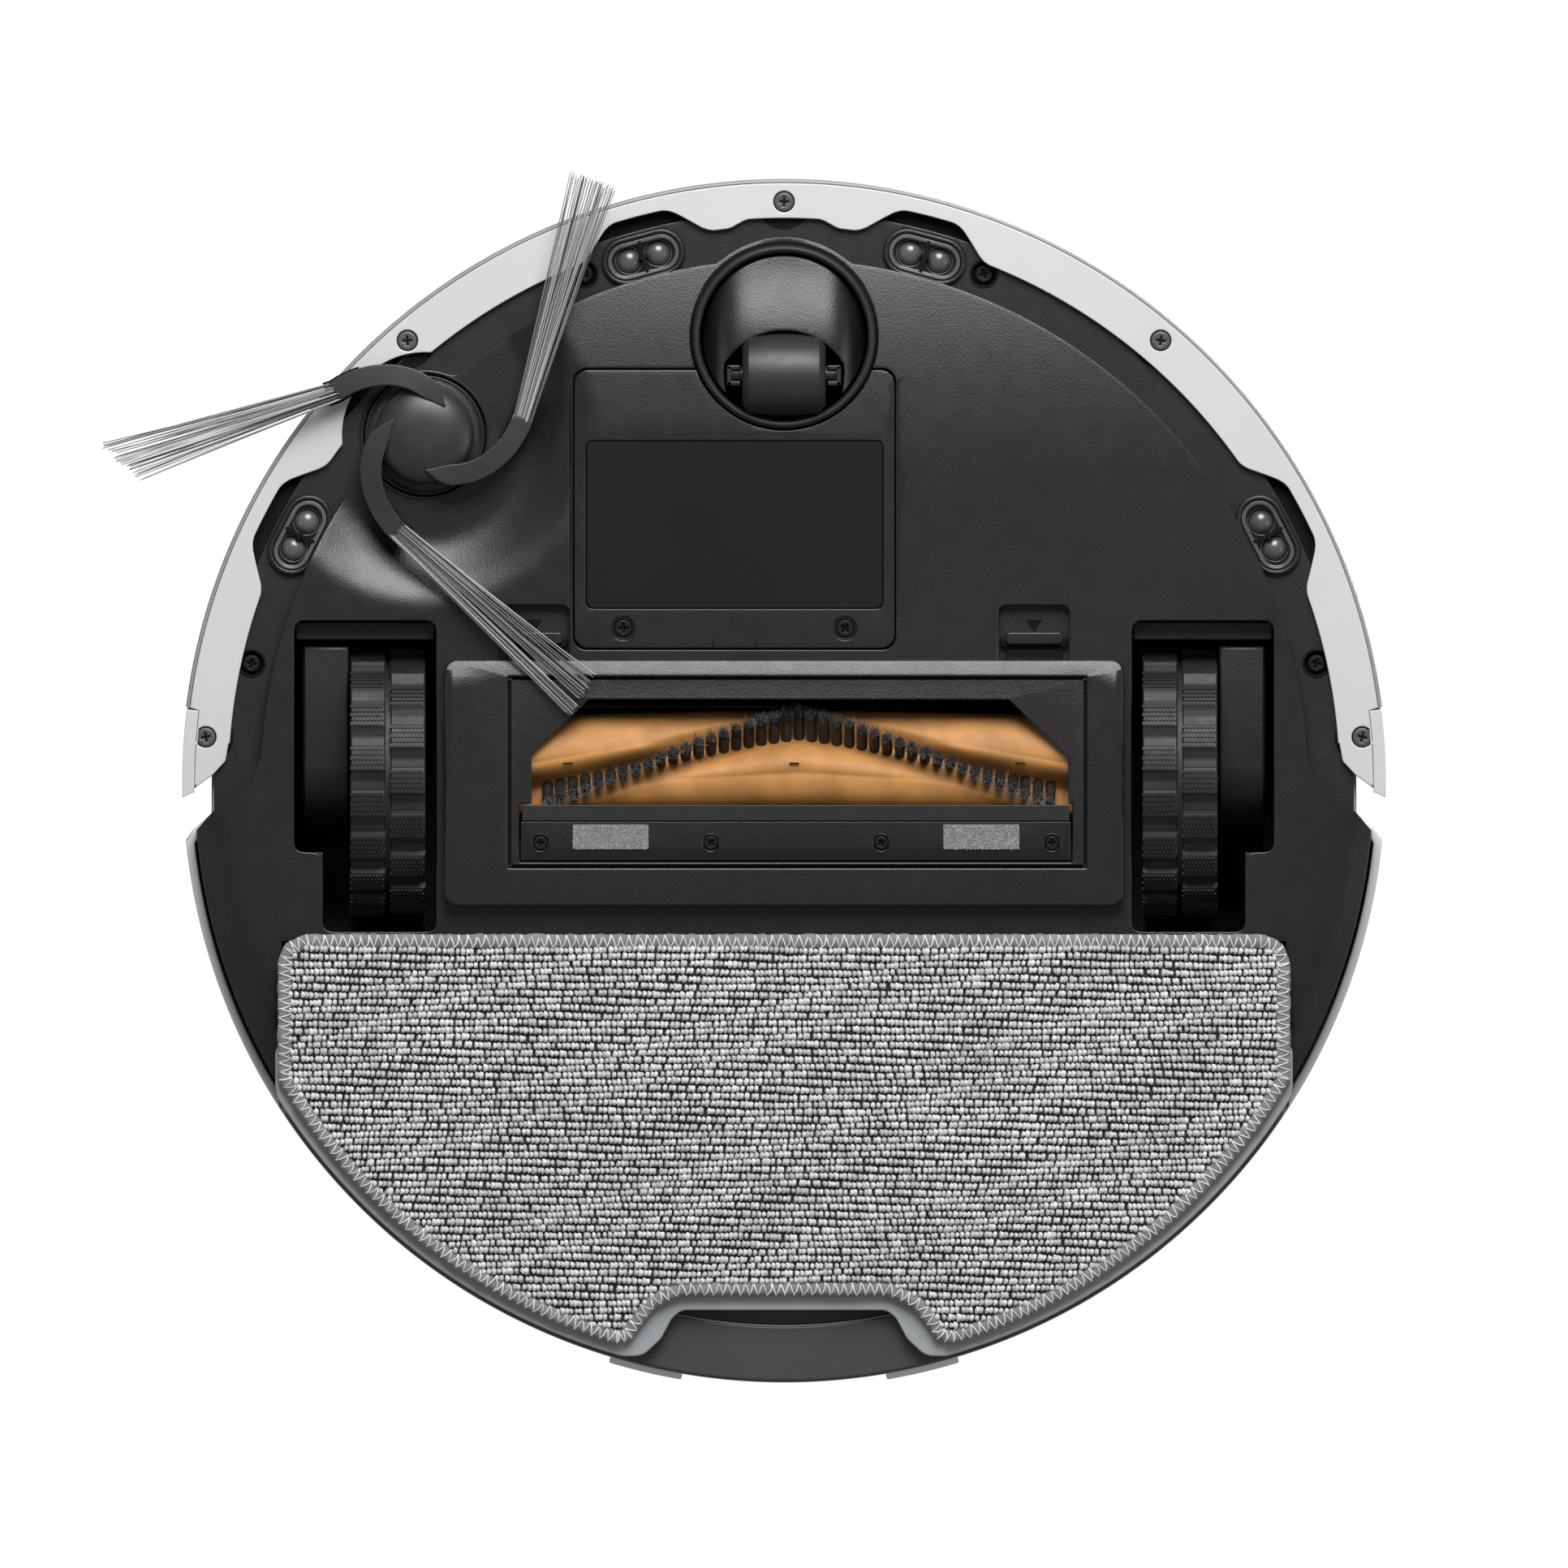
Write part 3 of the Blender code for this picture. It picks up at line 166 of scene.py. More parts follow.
def mirrored(half):
    """Closes an outline given by its +X half, from front to rear."""
    return half + [(-x, y) for x, y in reversed(half) if abs(x) > 1e-7]


def flip(points):
    """An outline's mirror image across the middle plane."""
    return [(-x, y) for x, y in reversed(points)]


def distinct(points):
    """Leaves out points that repeat the one before."""
    points = [tuple(p) for p in points]
    return [p for i, p in enumerate(points) if hypot(p[0] - points[i - 1][0], p[1] - points[i - 1][1]) > 1e-6]


def from_hub(x, y):
    return hypot(x - HUB[0], y - HUB[1])


def area(points):
    """The area inside an outline, positive where it runs anticlockwise."""
    following = points[1:] + points[:1]
    return sum(a[0] * b[1] - b[0] * a[1] for a, b in zip(points, following)) / 2


def inset(points, distance):
    """Moves every side of an outline inwards; a negative distance moves it out."""
    turn = 1.0 if area(points) > 0 else -1.0
    moved = []
    for i, point in enumerate(points):
        before = Vector(point) - Vector(points[i - 1])
        after = Vector(points[(i + 1) % len(points)]) - Vector(point)
        first = Vector((-before.y, before.x)).normalized() * turn
        second = Vector((-after.y, after.x)).normalized() * turn
        middle = (first + second).normalized()
        reach = distance / max(middle.dot(first), 0.5)
        moved.append((point[0] + middle.x * reach, point[1] + middle.y * reach))
    return moved


def rounded(points, radius, steps, closed=True):
    """Replaces each corner of an outline or a profile by an arc."""
    result = []
    count = len(points)
    for i, point in enumerate(points):
        if not closed and i in (0, count - 1):
            result.append(tuple(point))
            continue
        here = Vector(point)
        back = Vector(points[i - 1]) - here
        ahead = Vector(points[(i + 1) % count]) - here
        half = back.angle(ahead) / 2
        if half > 1.5:
            result.append(tuple(point))
            continue
        reach = min(radius / tan(half), 0.45 * back.length, 0.45 * ahead.length)
        a, b = here + back.normalized() * reach, here + ahead.normalized() * reach
        for step in range(steps + 1):
            t = step / steps
            result.append(tuple(a * (1 - t) ** 2 + here * 2 * t * (1 - t) + b * t * t))
    return result


def past_circle(bearing, centre, radius):
    """How far out a ray from the body's axis leaves a circle, or 0 where it misses."""
    along = Vector(polar(1.0, bearing))
    reach = along.dot(Vector(centre))
    offset = Vector(centre).length_squared - reach * reach
    if reach < 0 or offset > radius * radius:
        return 0.0
    return reach + sqrt(radius * radius - offset)


def smooth(value, low, high):
    """0 below low, 1 above high, and an even S between them."""
    t = min(max((value - low) / (high - low), 0.0), 1.0)
    return t * t * (3 - 2 * t)


def wing_bearing(y, radius):
    """Where a circle about the body's axis passes a given y, behind its +X side."""
    return 90.0 + degrees(asin(y / radius))


# ---------------------------------------------------------------- mesh tools


def piece(name, points, faces, sharp=38):
    """A new object from points and faces, with its normals facing out."""
    mesh = bpy.data.meshes.new(name)
    mesh.from_pydata([tuple(p) for p in points], [], [tuple(f) for f in faces])
    shape = bmesh.new()
    shape.from_mesh(mesh)
    bmesh.ops.remove_doubles(shape, verts=shape.verts, dist=2e-7)
    bmesh.ops.dissolve_degenerate(shape, edges=shape.edges, dist=2e-7)
    bmesh.ops.recalc_face_normals(shape, faces=shape.faces)
    shape.to_mesh(mesh)
    shape.free()
    return new_object(name, mesh, sharp)


def new_object(name, mesh, sharp=38):
    mesh.shade_smooth()
    mesh.set_sharp_from_angle(angle=radians(sharp))
    obj = bpy.data.objects.new(name, mesh)
    bpy.context.scene.collection.objects.link(obj)
    return obj


def ring_faces(rings, size, closed=False):
    """Four-sided faces between rings of points, then two end caps, or the last ring joined to the first."""
    faces = []
    for i in range(rings if closed else rings - 1):
        a, b = i * size, ((i + 1) % rings) * size
        for k in range(size):
            n = (k + 1) % size
            faces.append((a + k, a + n, b + n, b + k))
    if not closed:
        faces.append(tuple(range(size)))
        faces.append(tuple(range((rings - 1) * size, rings * size)))
    return faces


def inside(points, loop):
    """Which of the points lie inside a closed outline."""
    x, y = points[:, 0], points[:, 1]
    a = np.array(loop)
    b = np.roll(a, -1, axis=0)
    result = np.zeros(len(points), bool)
    for (x0, y0), (x1, y1) in zip(a, b):
        if y0 == y1:
            continue
        crosses = (y0 > y) != (y1 > y)
        result ^= crosses & (x < x0 + (y - y0) * (x1 - x0) / (y1 - y0))
    return result


def filled(outline, holes, spots):
    """Triangles that fill an outline round its holes, through extra spots inside it."""
    loops = [outline, *holes]
    points = [Vector(p) for loop in loops for p in loop]
    edges = []
    start = 0
    for loop in loops:
        edges += [(start + i, start + (i + 1) % len(loop)) for i in range(len(loop))]
        start += len(loop)
    if len(spots):
        spots = np.array(spots)
        keep = inside(spots, outline)
        for hole in holes:
            keep &= ~inside(spots, hole)
        points += [Vector(p) for p in spots[keep]]
    found, _, faces, *_ = delaunay_2d_cdt(points, edges, [], 0, 1e-8)
    found = np.array([tuple(p) for p in found])
    faces = np.array([f for f in faces if len(f) == 3])
    middles = found[faces].mean(axis=1)
    keep = inside(middles, outline)
    for hole in holes:
        keep &= ~inside(middles, hole)
    return found, faces[keep]


def moulded(name, outline, holes, face, back, edge, steps=3, lift=None, spots=()):
    """A plate with a rounded edge round its face. lift(x, y) moves the face towards its back."""
    side = 1.0 if back > face else -1.0
    lift = lift or (lambda x, y: 0.0)
    points, faces = [], []
    last = []
    for loop, sign in [(outline, 1), *[(hole, -1) for hole in holes]]:
        rings = [(0.0, None)]
        for k in range(steps + 1 if edge else 1):
            angle = 0.5 * pi * k / steps if edge else 0.5 * pi
            rings.append((edge * (1 - cos(angle)) if edge else 0.0, edge * (1 - sin(angle))))
        count = len(loop)
        for distance, depth in rings:
            moved = inset(loop, sign * distance) if distance else loop
            for x, y in moved:
                z = back if depth is None else face + side * (depth + lift(x, y))
                points.append((x, y, z))
        start = len(points) - count * len(rings)
        for k in range(len(rings) - 1):
            for i in range(count):
                j = (i + 1) % count
                a, b = start + k * count, start + (k + 1) * count
                faces.append((a + i, a + j, b + j, b + i))
        last.append(moved)
    for loops, extra, is_face in ((last, spots, True), ([outline, *holes], (), False)):
        found, triangles = filled(loops[0], loops[1:], extra)
        start = len(points)
        for x, y in found:
            points.append((x, y, face + side * lift(x, y) if is_face else back))
        faces += [tuple(int(v) + start for v in t) for t in triangles]
    return flat_faced(piece(name, points, faces))


def grid_spots(x0, x1, y0, y1, step):
    """Points of a staggered grid over a rectangle."""
    rows = np.arange(y0, y1, step)
    return [(x + (row % 2) * step / 2, y) for row, y in enumerate(rows) for x in np.arange(x0, x1, step)]


TURNS = {"X": Matrix.Rotation(pi / 2, 4, "Y"), "Z": Matrix.Identity(4)}


def lathe(name, profile, centre, segments, along="Z", start=0.0, sweep=360.0):
    """Turns a closed profile of (radius, height) pairs about an axis."""
    whole = sweep >= 360.0
    count = segments if whole else segments + 1
    points, faces = [], []
    for i in range(count):
        angle = radians(start + sweep * i / segments)
        for radius, height in profile:
            points.append((radius * sin(angle), -radius * cos(angle), height))
    size = len(profile)
    for i in range(segments):
        a, b = i * size, ((i + 1) % count) * size
        for k in range(size):
            n = (k + 1) % size
            if profile[k][0] < 1e-9 and profile[n][0] < 1e-9:
                continue
            faces.append((a + k, b + k, b + n, a + n))
    if not whole:
        faces.append(tuple(range(size)))
        faces.append(tuple(range(segments * size, (segments + 1) * size)))
    turn = Matrix.Translation(centre) @ TURNS[along]
    return piece(name, [turn @ Vector(p) for p in points], faces)


def strands(name, paths, radii, sides, twist=0.0):
    """Thin tubes along many paths at once: paths is (count, steps, 3), radii is (count, steps)."""
    paths, radii = np.asarray(paths, float), np.asarray(radii, float)
    count, steps, _ = paths.shape
    along = np.gradient(paths, axis=1)
    along /= np.linalg.norm(along, axis=2, keepdims=True) + 1e-12
    helper = np.where(np.abs(along[:, :1, 2:3]) > 0.9, [[[1.0, 0.0, 0.0]]], [[[0.0, 0.0, 1.0]]])
    first = np.cross(along, helper)
    first /= np.linalg.norm(first, axis=2, keepdims=True) + 1e-12
    second = np.cross(along, first)
    angles = 2 * pi * np.arange(sides) / sides + twist
    ring = (
        first[:, :, None] * np.cos(angles)[None, None, :, None]
        + second[:, :, None] * np.sin(angles)[None, None, :, None]
    )
    points = (paths[:, :, None] + ring * radii[:, :, None, None]).reshape(-1, 3)
    base = (np.arange(count) * steps * sides)[:, None, None]
    row = (np.arange(steps - 1) * sides)[None, :, None]
    k = np.arange(sides)[None, None, :]
    n = (np.arange(sides) + 1)[None, None, :] % sides
    quads = np.stack([base + row + k, base + row + n, base + row + sides + n, base + row + sides + k], -1)
    quads = quads.reshape(-1, 4)
    start_caps = base[:, :, 0] + np.arange(sides)[None, ::-1]
    end_caps = base[:, :, 0] + (steps - 1) * sides + np.arange(sides)[None, :]
    mesh = bpy.data.meshes.new(name)
    faces = [list(map(int, f)) for f in quads]
    faces += [list(map(int, f)) for f in np.concatenate([start_caps, end_caps])]
    mesh.from_pydata(points.tolist(), [], faces)
    shades = np.repeat(random.random(count), steps * sides)
    attribute = mesh.attributes.new("shade", "FLOAT", "POINT")
    attribute.data.foreach_set("value", shades.astype(np.float32))
    return new_object(name, mesh, 80)


def boolean(obj, cutters, operation="DIFFERENCE"):
    """Cuts from an object or joins to it; the cutters are used up."""
    for part in (obj, *cutters):
        part.modifiers.clear()
    for cutter in cutters:
        modifier = obj.modifiers.new("Cut", "BOOLEAN")
        modifier.operation = operation
        modifier.object = cutter
    bpy.context.view_layer.update()
    graph = bpy.context.evaluated_depsgraph_get()
    mesh = bpy.data.meshes.new_from_object(obj.evaluated_get(graph))
    name = obj.name
    bpy.data.objects.remove(obj)
    for cutter in cutters:
        bpy.data.objects.remove(cutter)
    obj = new_object(name, mesh)
    obj.name = name
    return flat_faced(obj)


def flat_faced(obj):
    """Lets large faces set the shading, so that flat areas look flat up to their rounded edges."""
    normals = obj.modifiers.new("Normals", "WEIGHTED_NORMAL")
    normals.keep_sharp = True
    return obj


def soften(obj, width, segments):
    """Rounds the sharp edges."""
    bevel = obj.modifiers.new("Edges", "BEVEL")
    bevel.width = width
    bevel.segments = segments
    bevel.limit_method = "ANGLE"
    bevel.angle_limit = radians(35)
    bevel.harden_normals = False
    return obj


def done(obj, material, body, slot, *nodes):
    """Moves a piece onto the body's axis, gives it its material and hangs it on its CAD body."""
    obj.data.materials.clear()
    obj.data.materials.append(material)
    obj.location = BODY
    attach(obj, body)
    if nodes:
        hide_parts(*nodes)
    return obj


# ---------------------------------------------------------------- materials


class Nodes:
    """A short way to write a material's nodes."""

    def __init__(self, name):
        self.material = bpy.data.materials.new(name)
        self.material.use_nodes = True
        self.tree = self.material.node_tree
        self.shader = self.tree.nodes["Principled BSDF"]
        self.place = self.node("ShaderNodeTexCoord").outputs["Object"]

    def node(self, kind, **settings):
        made = self.tree.nodes.new(kind)
        for key, value in settings.items():
            setattr(made, key, value)
        return made

    def link(self, source, target):
        self.tree.links.new(source, target)

    def noise(self, scale, detail=2.0, roughness=0.5, place=None, distortion=0.0):
        made = self.node("ShaderNodeTexNoise")
        made.inputs["Scale"].default_value = scale
        made.inputs["Detail"].default_value = detail
        made.inputs["Roughness"].default_value = roughness
        made.inputs["Distortion"].default_value = distortion
        self.link(place or self.place, made.inputs["Vector"])
        return made.outputs["Fac"]

    def cells(self, scale):
        made = self.node("ShaderNodeTexVoronoi", feature="SMOOTH_F1")
        made.inputs["Scale"].default_value = scale
        made.inputs["Smoothness"].default_value = 0.4
        self.link(self.place, made.inputs["Vector"])
        return made.outputs["Distance"]

    def stretched(self, scale):
        """The piece's own coordinates, scaled along each axis."""
        made = self.node("ShaderNodeMapping")
        made.inputs["Scale"].default_value = scale
        self.link(self.place, made.inputs["Vector"])
        return made.outputs["Vector"]

    def ramp(self, source, low, high, start=0.0, end=1.0):
        """Maps a value onto a range."""
        made = self.node("ShaderNodeMapRange")
        made.inputs["From Min"].default_value = start
        made.inputs["From Max"].default_value = end
        made.inputs["To Min"].default_value = low
        made.inputs["To Max"].default_value = high
        self.link(source, made.inputs["Value"])
        return made.outputs["Result"]

    def tint(self, source, first, second, start=0.0, end=1.0):
        """A colour between two, by a value."""
        made = self.node("ShaderNodeMix", data_type="RGBA")
        self.link(self.ramp(source, 0.0, 1.0, start, end), made.inputs["Factor"])
        made.inputs["A"].default_value = (*first, 1.0)
        made.inputs["B"].default_value = (*second, 1.0)
        return made.outputs["Result"]

    def add(self, a, b, weight):
        """The first value plus a share of the second."""
        made = self.node("ShaderNodeMath", operation="MULTIPLY_ADD")
        self.link(b, made.inputs[0])
        made.inputs[1].default_value = weight
        self.link(a, made.inputs[2])
        return made.outputs[0]

    def bump(self, source, depth):
        made = self.node("ShaderNodeBump")
        made.inputs["Distance"].default_value = depth
        made.inputs["Strength"].default_value = 1.0
        self.link(source, made.inputs["Height"])
        self.link(made.outputs["Normal"], self.shader.inputs["Normal"])

    def colour(self, source):
        self.link(source, self.shader.inputs["Base Color"])

    def rough(self, source):
        self.link(source, self.shader.inputs["Roughness"])

    def plain(self, **values):
        for key, value in values.items():
            self.shader.inputs[key.replace("_", " ")].default_value = value


def shades(colour, spread):
    """A darker and a lighter shade of a colour."""
    return [c * (1 - spread) for c in colour], [min(c * (1 + spread), 1.0) for c in colour]


def pebbled(name, colour, roughness, cell, depth, spread=0.18, specular=0.5):
    """Moulded plastic with a fine leather-like grain; cell and depth in millimetres."""
    n = Nodes(name)
    grain = n.add(n.noise(1000 / (cell * 1.4), 3.0, 0.6), n.cells(1000 / cell), 0.6)
    n.colour(n.tint(n.noise(25.0, 3.0), *shades(colour, spread), 0.3, 0.7))
    n.rough(n.ramp(n.noise(160.0, 2.0), roughness - 0.05, roughness + 0.06))
    n.bump(grain, depth * MM)
    n.plain(Specular_IOR_Level=specular)
    return n.material


def satin(name, colour, roughness, spread=0.08, depth=0.006, coat=0.0, specular=0.5):
    """Smooth moulded plastic with faint flow marks."""
    n = Nodes(name)
    n.colour(n.tint(n.noise(30.0, 3.0), *shades(colour, spread), 0.3, 0.7))
    n.rough(n.ramp(n.noise(400.0, 2.0), roughness - 0.04, roughness + 0.05))
    n.bump(n.noise(2500.0, 2.0), depth * MM)
    n.plain(Coat_Weight=coat, Coat_Roughness=0.12, Specular_IOR_Level=specular)
    return n.material


def rubber(name, colour, roughness, depth=0.02):
    """Rubber with a dull, slightly blotchy skin."""
    n = Nodes(name)
    n.colour(n.tint(n.noise(90.0, 3.0), *shades(colour, 0.22), 0.3, 0.7))
    n.rough(n.ramp(n.noise(300.0, 2.0), roughness - 0.08, roughness + 0.1))
    n.bump(n.noise(1800.0, 3.0), depth * MM)
    return n.material


def metal(name, colour, roughness, stretch):
    """Metal with fine drawing marks along one direction."""
    n = Nodes(name)
    marks = n.noise(1200.0, 3.0, 0.6, n.stretched(stretch))
    n.colour(n.tint(marks, *shades(colour, 0.06), 0.3, 0.7))
    n.rough(n.ramp(marks, roughness - 0.07, roughness + 0.1))
    n.bump(marks, 0.004 * MM)
    n.plain(Metallic=1.0)
    return n.material


def fibres(name, dark, light, roughness):
    """Bristles or yarn: each strand has its own shade."""
    n = Nodes(name)
    shade = n.node("ShaderNodeAttribute", attribute_name="shade").outputs["Fac"]
    n.colour(n.tint(shade, dark, light))
    n.rough(n.ramp(n.noise(900.0), roughness - 0.1, roughness + 0.1))
    n.bump(n.noise(3000.0, 2.0), 0.01 * MM)
    return n.material


def terry(name, dark, light):
    """Looped microfibre: yarn with fine twisted filaments and a faint velvet sheen."""
    n = Nodes(name)
    shade = n.node("ShaderNodeAttribute", attribute_name="shade").outputs["Fac"]
    patches = n.add(shade, n.noise(45.0, 3.0), 1.2)
    n.colour(n.tint(patches, dark, light, 0.2, 1.5))
    n.rough(n.ramp(n.noise(800.0), 0.85, 1.0))
    n.bump(n.noise(2600.0, 3.0, 0.7, distortion=1.5), 0.08 * MM)
    n.plain(Sheen_Weight=0.2, Sheen_Roughness=0.5, Specular_IOR_Level=0.2)
    return n.material


def woven(name, colour, pitch=0.5):
    """Plain woven tape, its threads as fine ribs both ways."""
    n = Nodes(name)
    ribs = n.node("ShaderNodeTexWave", wave_type="BANDS", bands_direction="DIAGONAL")
    ribs.inputs["Scale"].default_value = 1000 / pitch / 6
    n.link(n.place, ribs.inputs["Vector"])
    mixed = n.add(n.noise(1500.0, 2.0), ribs.outputs["Fac"], 0.6)
    n.colour(n.tint(n.noise(120.0, 3.0), *shades(colour, 0.15), 0.3, 0.7))
    n.rough(n.ramp(n.noise(500.0), 0.8, 0.95))
    n.bump(mixed, 0.03 * MM)
    n.plain(Sheen_Weight=0.3, Specular_IOR_Level=0.25)
    return n.material


def velcro(name, colour):
    """The woven ground of hook tape."""
    n = Nodes(name)
    n.colour(n.tint(n.noise(1400.0, 3.0), *shades(colour, 0.35), 0.3, 0.7))
    n.rough(n.ramp(n.noise(600.0), 0.8, 1.0))
    n.bump(n.noise(2200.0, 2.0), 0.15 * MM)
    return n.material


M = {
    "belly": pebbled("belly_plastic", (0.009, 0.009, 0.0093), 0.33, 0.50, 0.035),
    "flange": pebbled("flange_plastic", (0.006, 0.006, 0.0062), 0.40, 0.50, 0.04),
    "guard": pebbled("guard_plastic", (0.008, 0.008, 0.0083), 0.34, 0.60, 0.05),
    "matte": rubber("roller_root", (0.012, 0.009, 0.007), 0.6, 0.01),
    # Grey for painted light and shade on edges: painted shade on the bumper's outer chamfer, a painted
    # highlight along the tank grip's edge.
    "rim": satin("painted_edge_shade_and_highlight", (0.26, 0.26, 0.262), 0.40),
    "hook": fibres("tape_hooks", (0.26, 0.26, 0.26), (0.52, 0.52, 0.52), 0.8),
    "eye": satin("sensor_dome", (0.085, 0.085, 0.086), 0.26, 0.3, 0.0, 0.5),
    "label": pebbled("label_film", (0.0075, 0.0075, 0.0078), 0.66, 0.28, 0.015, 0.08, 0.16),
    "black": satin("black_plastic", (0.002, 0.002, 0.002), 0.60, specular=0.15),
    "dark": satin("dark_plastic", (0.012, 0.012, 0.0125), 0.40),
    "hub": satin("hub_plastic", (0.022, 0.022, 0.023), 0.38),
    "white": satin("white_plastic", (0.55, 0.55, 0.552), 0.34, 0.02, 0.003, 0.15),
    "plate": satin("plate_plastic", (0.33, 0.345, 0.355), 0.46),
    "tank": satin("tank_plastic", (0.050, 0.051, 0.053), 0.40),
    "tyre": rubber("tyre_rubber", (0.014, 0.014, 0.0145), 0.55),
    "caster_rubber": rubber("caster_rubber", (0.020, 0.020, 0.021), 0.45, 0.01),
    "orange": rubber("orange_rubber", (0.46, 0.212, 0.058), 0.62, 0.006),
    "tuft": fibres("black_bristle", (0.006, 0.005, 0.005), (0.050, 0.042, 0.036), 0.5),
    "tip_hair": fibres("bristle_tip", (0.015, 0.016, 0.018), (0.20, 0.215, 0.23), 0.6),
    "pale_tuft": fibres("pale_bristle", (0.018, 0.018, 0.018), (0.60, 0.60, 0.60), 0.4),
    "terry": terry("mop_terry", (0.34, 0.34, 0.34), (0.70, 0.70, 0.70)),
    # Near-black backing: painted shade for the dark gaps between the pile's rows.
    "backing": woven("mop_backing_painted_shade", (0.025, 0.025, 0.025)),
    "hem": woven("mop_hem", (0.20, 0.20, 0.205), 0.4),
    "thread": fibres("mop_thread", (0.55, 0.55, 0.56), (0.85, 0.85, 0.85), 0.7),
    "screw": satin("screw_black", (0.006, 0.006, 0.0062), 0.48, specular=0.2),
    "grey_screw": satin("screw_grey", (0.075, 0.075, 0.076), 0.36),
    "steel": metal("drawn_steel", (0.60, 0.60, 0.61), 0.28, (1.0, 0.05, 1.0)),
    "contact": satin("contact_plating", (0.93, 0.87, 0.81), 0.36, 0.03, 0.004, 0.3),
    "velcro": velcro("hook_tape", (0.27, 0.27, 0.27)),
    "board": satin("solder_mask", (0.02, 0.13, 0.06), 0.4, 0.2, 0.02),
    "wrap": satin("battery_wrap", (0.05, 0.09, 0.26), 0.32, 0.1, 0.01),
    "glow": satin("sensor_cell", (0.030, 0.030, 0.031), 0.18),
}


# ---------------------------------------------------------------- screws


def cross(radius, width, bearing):
    """The outline of a cross recess."""
    points = []
    for quarter in range(4):
        turn = radians(bearing + 90 * quarter)
        for x, y in ((radius, -width), (radius, width), (width, width)):
            points.append((x * cos(turn) - y * sin(turn), x * sin(turn) + y * cos(turn)))
    return points


def screw(name, spot, face, radius, material, body, slot, turn):
    """A pan-head screw with a cross recess, its head looking down."""
    x, y = spot
    head = circle(radius, 32, spot)
    recess = [(x + a, y + b) for a, b in cross(0.46 * radius, 0.085 * radius, turn)]
    top = moulded(name, head, [recess], face, face + 0.0012, 0.22 * radius, 4)
    # The recess floor is black: painted shade inside the cross recess.
    floor = moulded(name + "_floor", circle(0.6 * radius, 16, spot), (), face + 0.0007, face + 0.0011, 0.0)
    done(top, material, body, slot)
    done(floor, M["black"], body, slot)


# ---------------------------------------------------------------- belly


def belly_outline():
    """The belly's edge: a circle with bulges round the side brush and the caster, and two rear wings."""
    wing_tip = 0.0880
    front = []
    for i in range(-174, 175):
        bearing = i * 0.5
        radius = max(
            BELLY_RADIUS,
            past_circle(bearing, HUB, 0.0190),
            past_circle(bearing, CASTER, 0.0290),
        )
        front.append(polar(radius, bearing))
    wing = mm((154.6, 0.2), (157.8, 2.8), (165.9, 8.7))
    wing += arc(0.1712, wing_bearing(0.0141, 0.1712), wing_bearing(wing_tip, 0.1712), 16)
    wing += [(0.1456, wing_tip), (0.1456, 0.0465)]
    return front + wing + flip(wing)


def well_outline(side):
    """The opening for a drive wheel and its gearbox."""
    points = mm((101.0, -46.7), (142.2, -46.7), (142.2, 20.5), (133.9, 20.5), (133.9, 43.6), (101.0, 43.6))
    points = rounded(points, 0.0032, 5)
    return points if side > 0 else flip(points)


def latch_outline(side):
    """The finger pocket: rounded at the front, open to the guard at the rear."""
    x0, x1, front, rear, corner = 0.0623, 0.0829, -0.0512, -0.0342, 0.0022
    points = arc(corner, 270, 360, 6, (x0 + corner, front + corner))
    points += arc(corner, 0, 90, 6, (x1 - corner, front + corner))
    points += [(x1, rear), (x0, rear)]
    return points if side > 0 else flip(points)


def battery_edge(grow=0.0):
    """The cover's edge as far as the caster, and half the angle of its round bite for the caster."""
    front = -0.1196 - grow
    edge = rectangle(-0.0609 - grow, 0.0321 + grow, front, -0.0387 + grow, 0.0040)
    return edge, degrees(acos((front - CASTER[1]) / CASTER_BITE))


def battery_cover_outline():
    """The cover's own edge."""
    edge, half = battery_edge()
    return edge + arc(CASTER_BITE, -180 + half, -180 - half, 24, CASTER)


def battery_opening():
    """The opening for the cover and the caster together."""
    edge, half = battery_edge(0.0004)
    return edge + arc(CASTER_BITE, -180 + half, 180 - half, 28, CASTER)


def belly_lift(x, y):
    """The bowl under the side brush, and the edges that curve up at the front and at the rear sides."""
    bowl = 0.0062 * (1 - smooth(from_hub(x, y), 0.0290, 0.0510))
    front = 0.0055 * max((-y - 0.0900) / 0.0620, 0.0) ** 2
    side = 0.0030 * smooth(hypot(x, y), 0.1560, 0.1735) ** 2 * smooth(y, 0.002, 0.016)
    return min(bowl + front, 0.0064) + side


def belly():
    """The textured shell of the underside, with spots for its curved parts."""
    holes = [well_outline(1), well_outline(-1), latch_outline(1), latch_outline(-1), battery_opening()]
    holes.append(circle(HUB_HOLE, 64, HUB))
    holes.append(rectangle(-0.0812, 0.0898, -0.0265, 0.0175))
    spots = [p for k in range(1, 24) for p in circle(HUB_HOLE + 0.0015 * k, 96, HUB)]
    spots += [p for k in range(8) for b in (1, -1) for p in arc(0.1560 + 0.0019 * k, b * 94, b * 122, 18)]
    spots += [p for reach in (1.3, 2.8, 4.8, 7.4, 10.6) for p in arc(BELLY_RADIUS - reach * MM, -40, 62, 140)
              if from_hub(*p) > 0.0535 and hypot(p[0], p[1] - CASTER[1]) > 0.0300]
    spots += [p for reach in (0.9, 2.4) for p in arc(0.0272 + reach * MM, -110, 110, 60, CASTER)]
    spots += [p for p in grid_spots(-0.1150, 0.1200, -0.1500, -0.0850, 0.0032)
              if from_hub(*p) > 0.0540 and hypot(*p) < 0.1395
              and hypot(p[0], p[1] - CASTER[1]) > 0.0310]
    spots = np.array(spots)
    spots = spots[inside(spots, inset(belly_outline(), 0.0010))]
    body = moulded("belly_shell", belly_outline(), holes, BELLY_Z, 0.0200, 0.0004, 3, belly_lift, spots)
    done(body, M["belly"], "chassis", "black_plastic", "bottom_chassis")


def rim_inner():
    """The rim's inner edge, which bends out past the caster's socket."""
    return [polar(max(0.1490, past_circle(b, CASTER, 0.0271)), b) for b in range(88, -89, -1)]


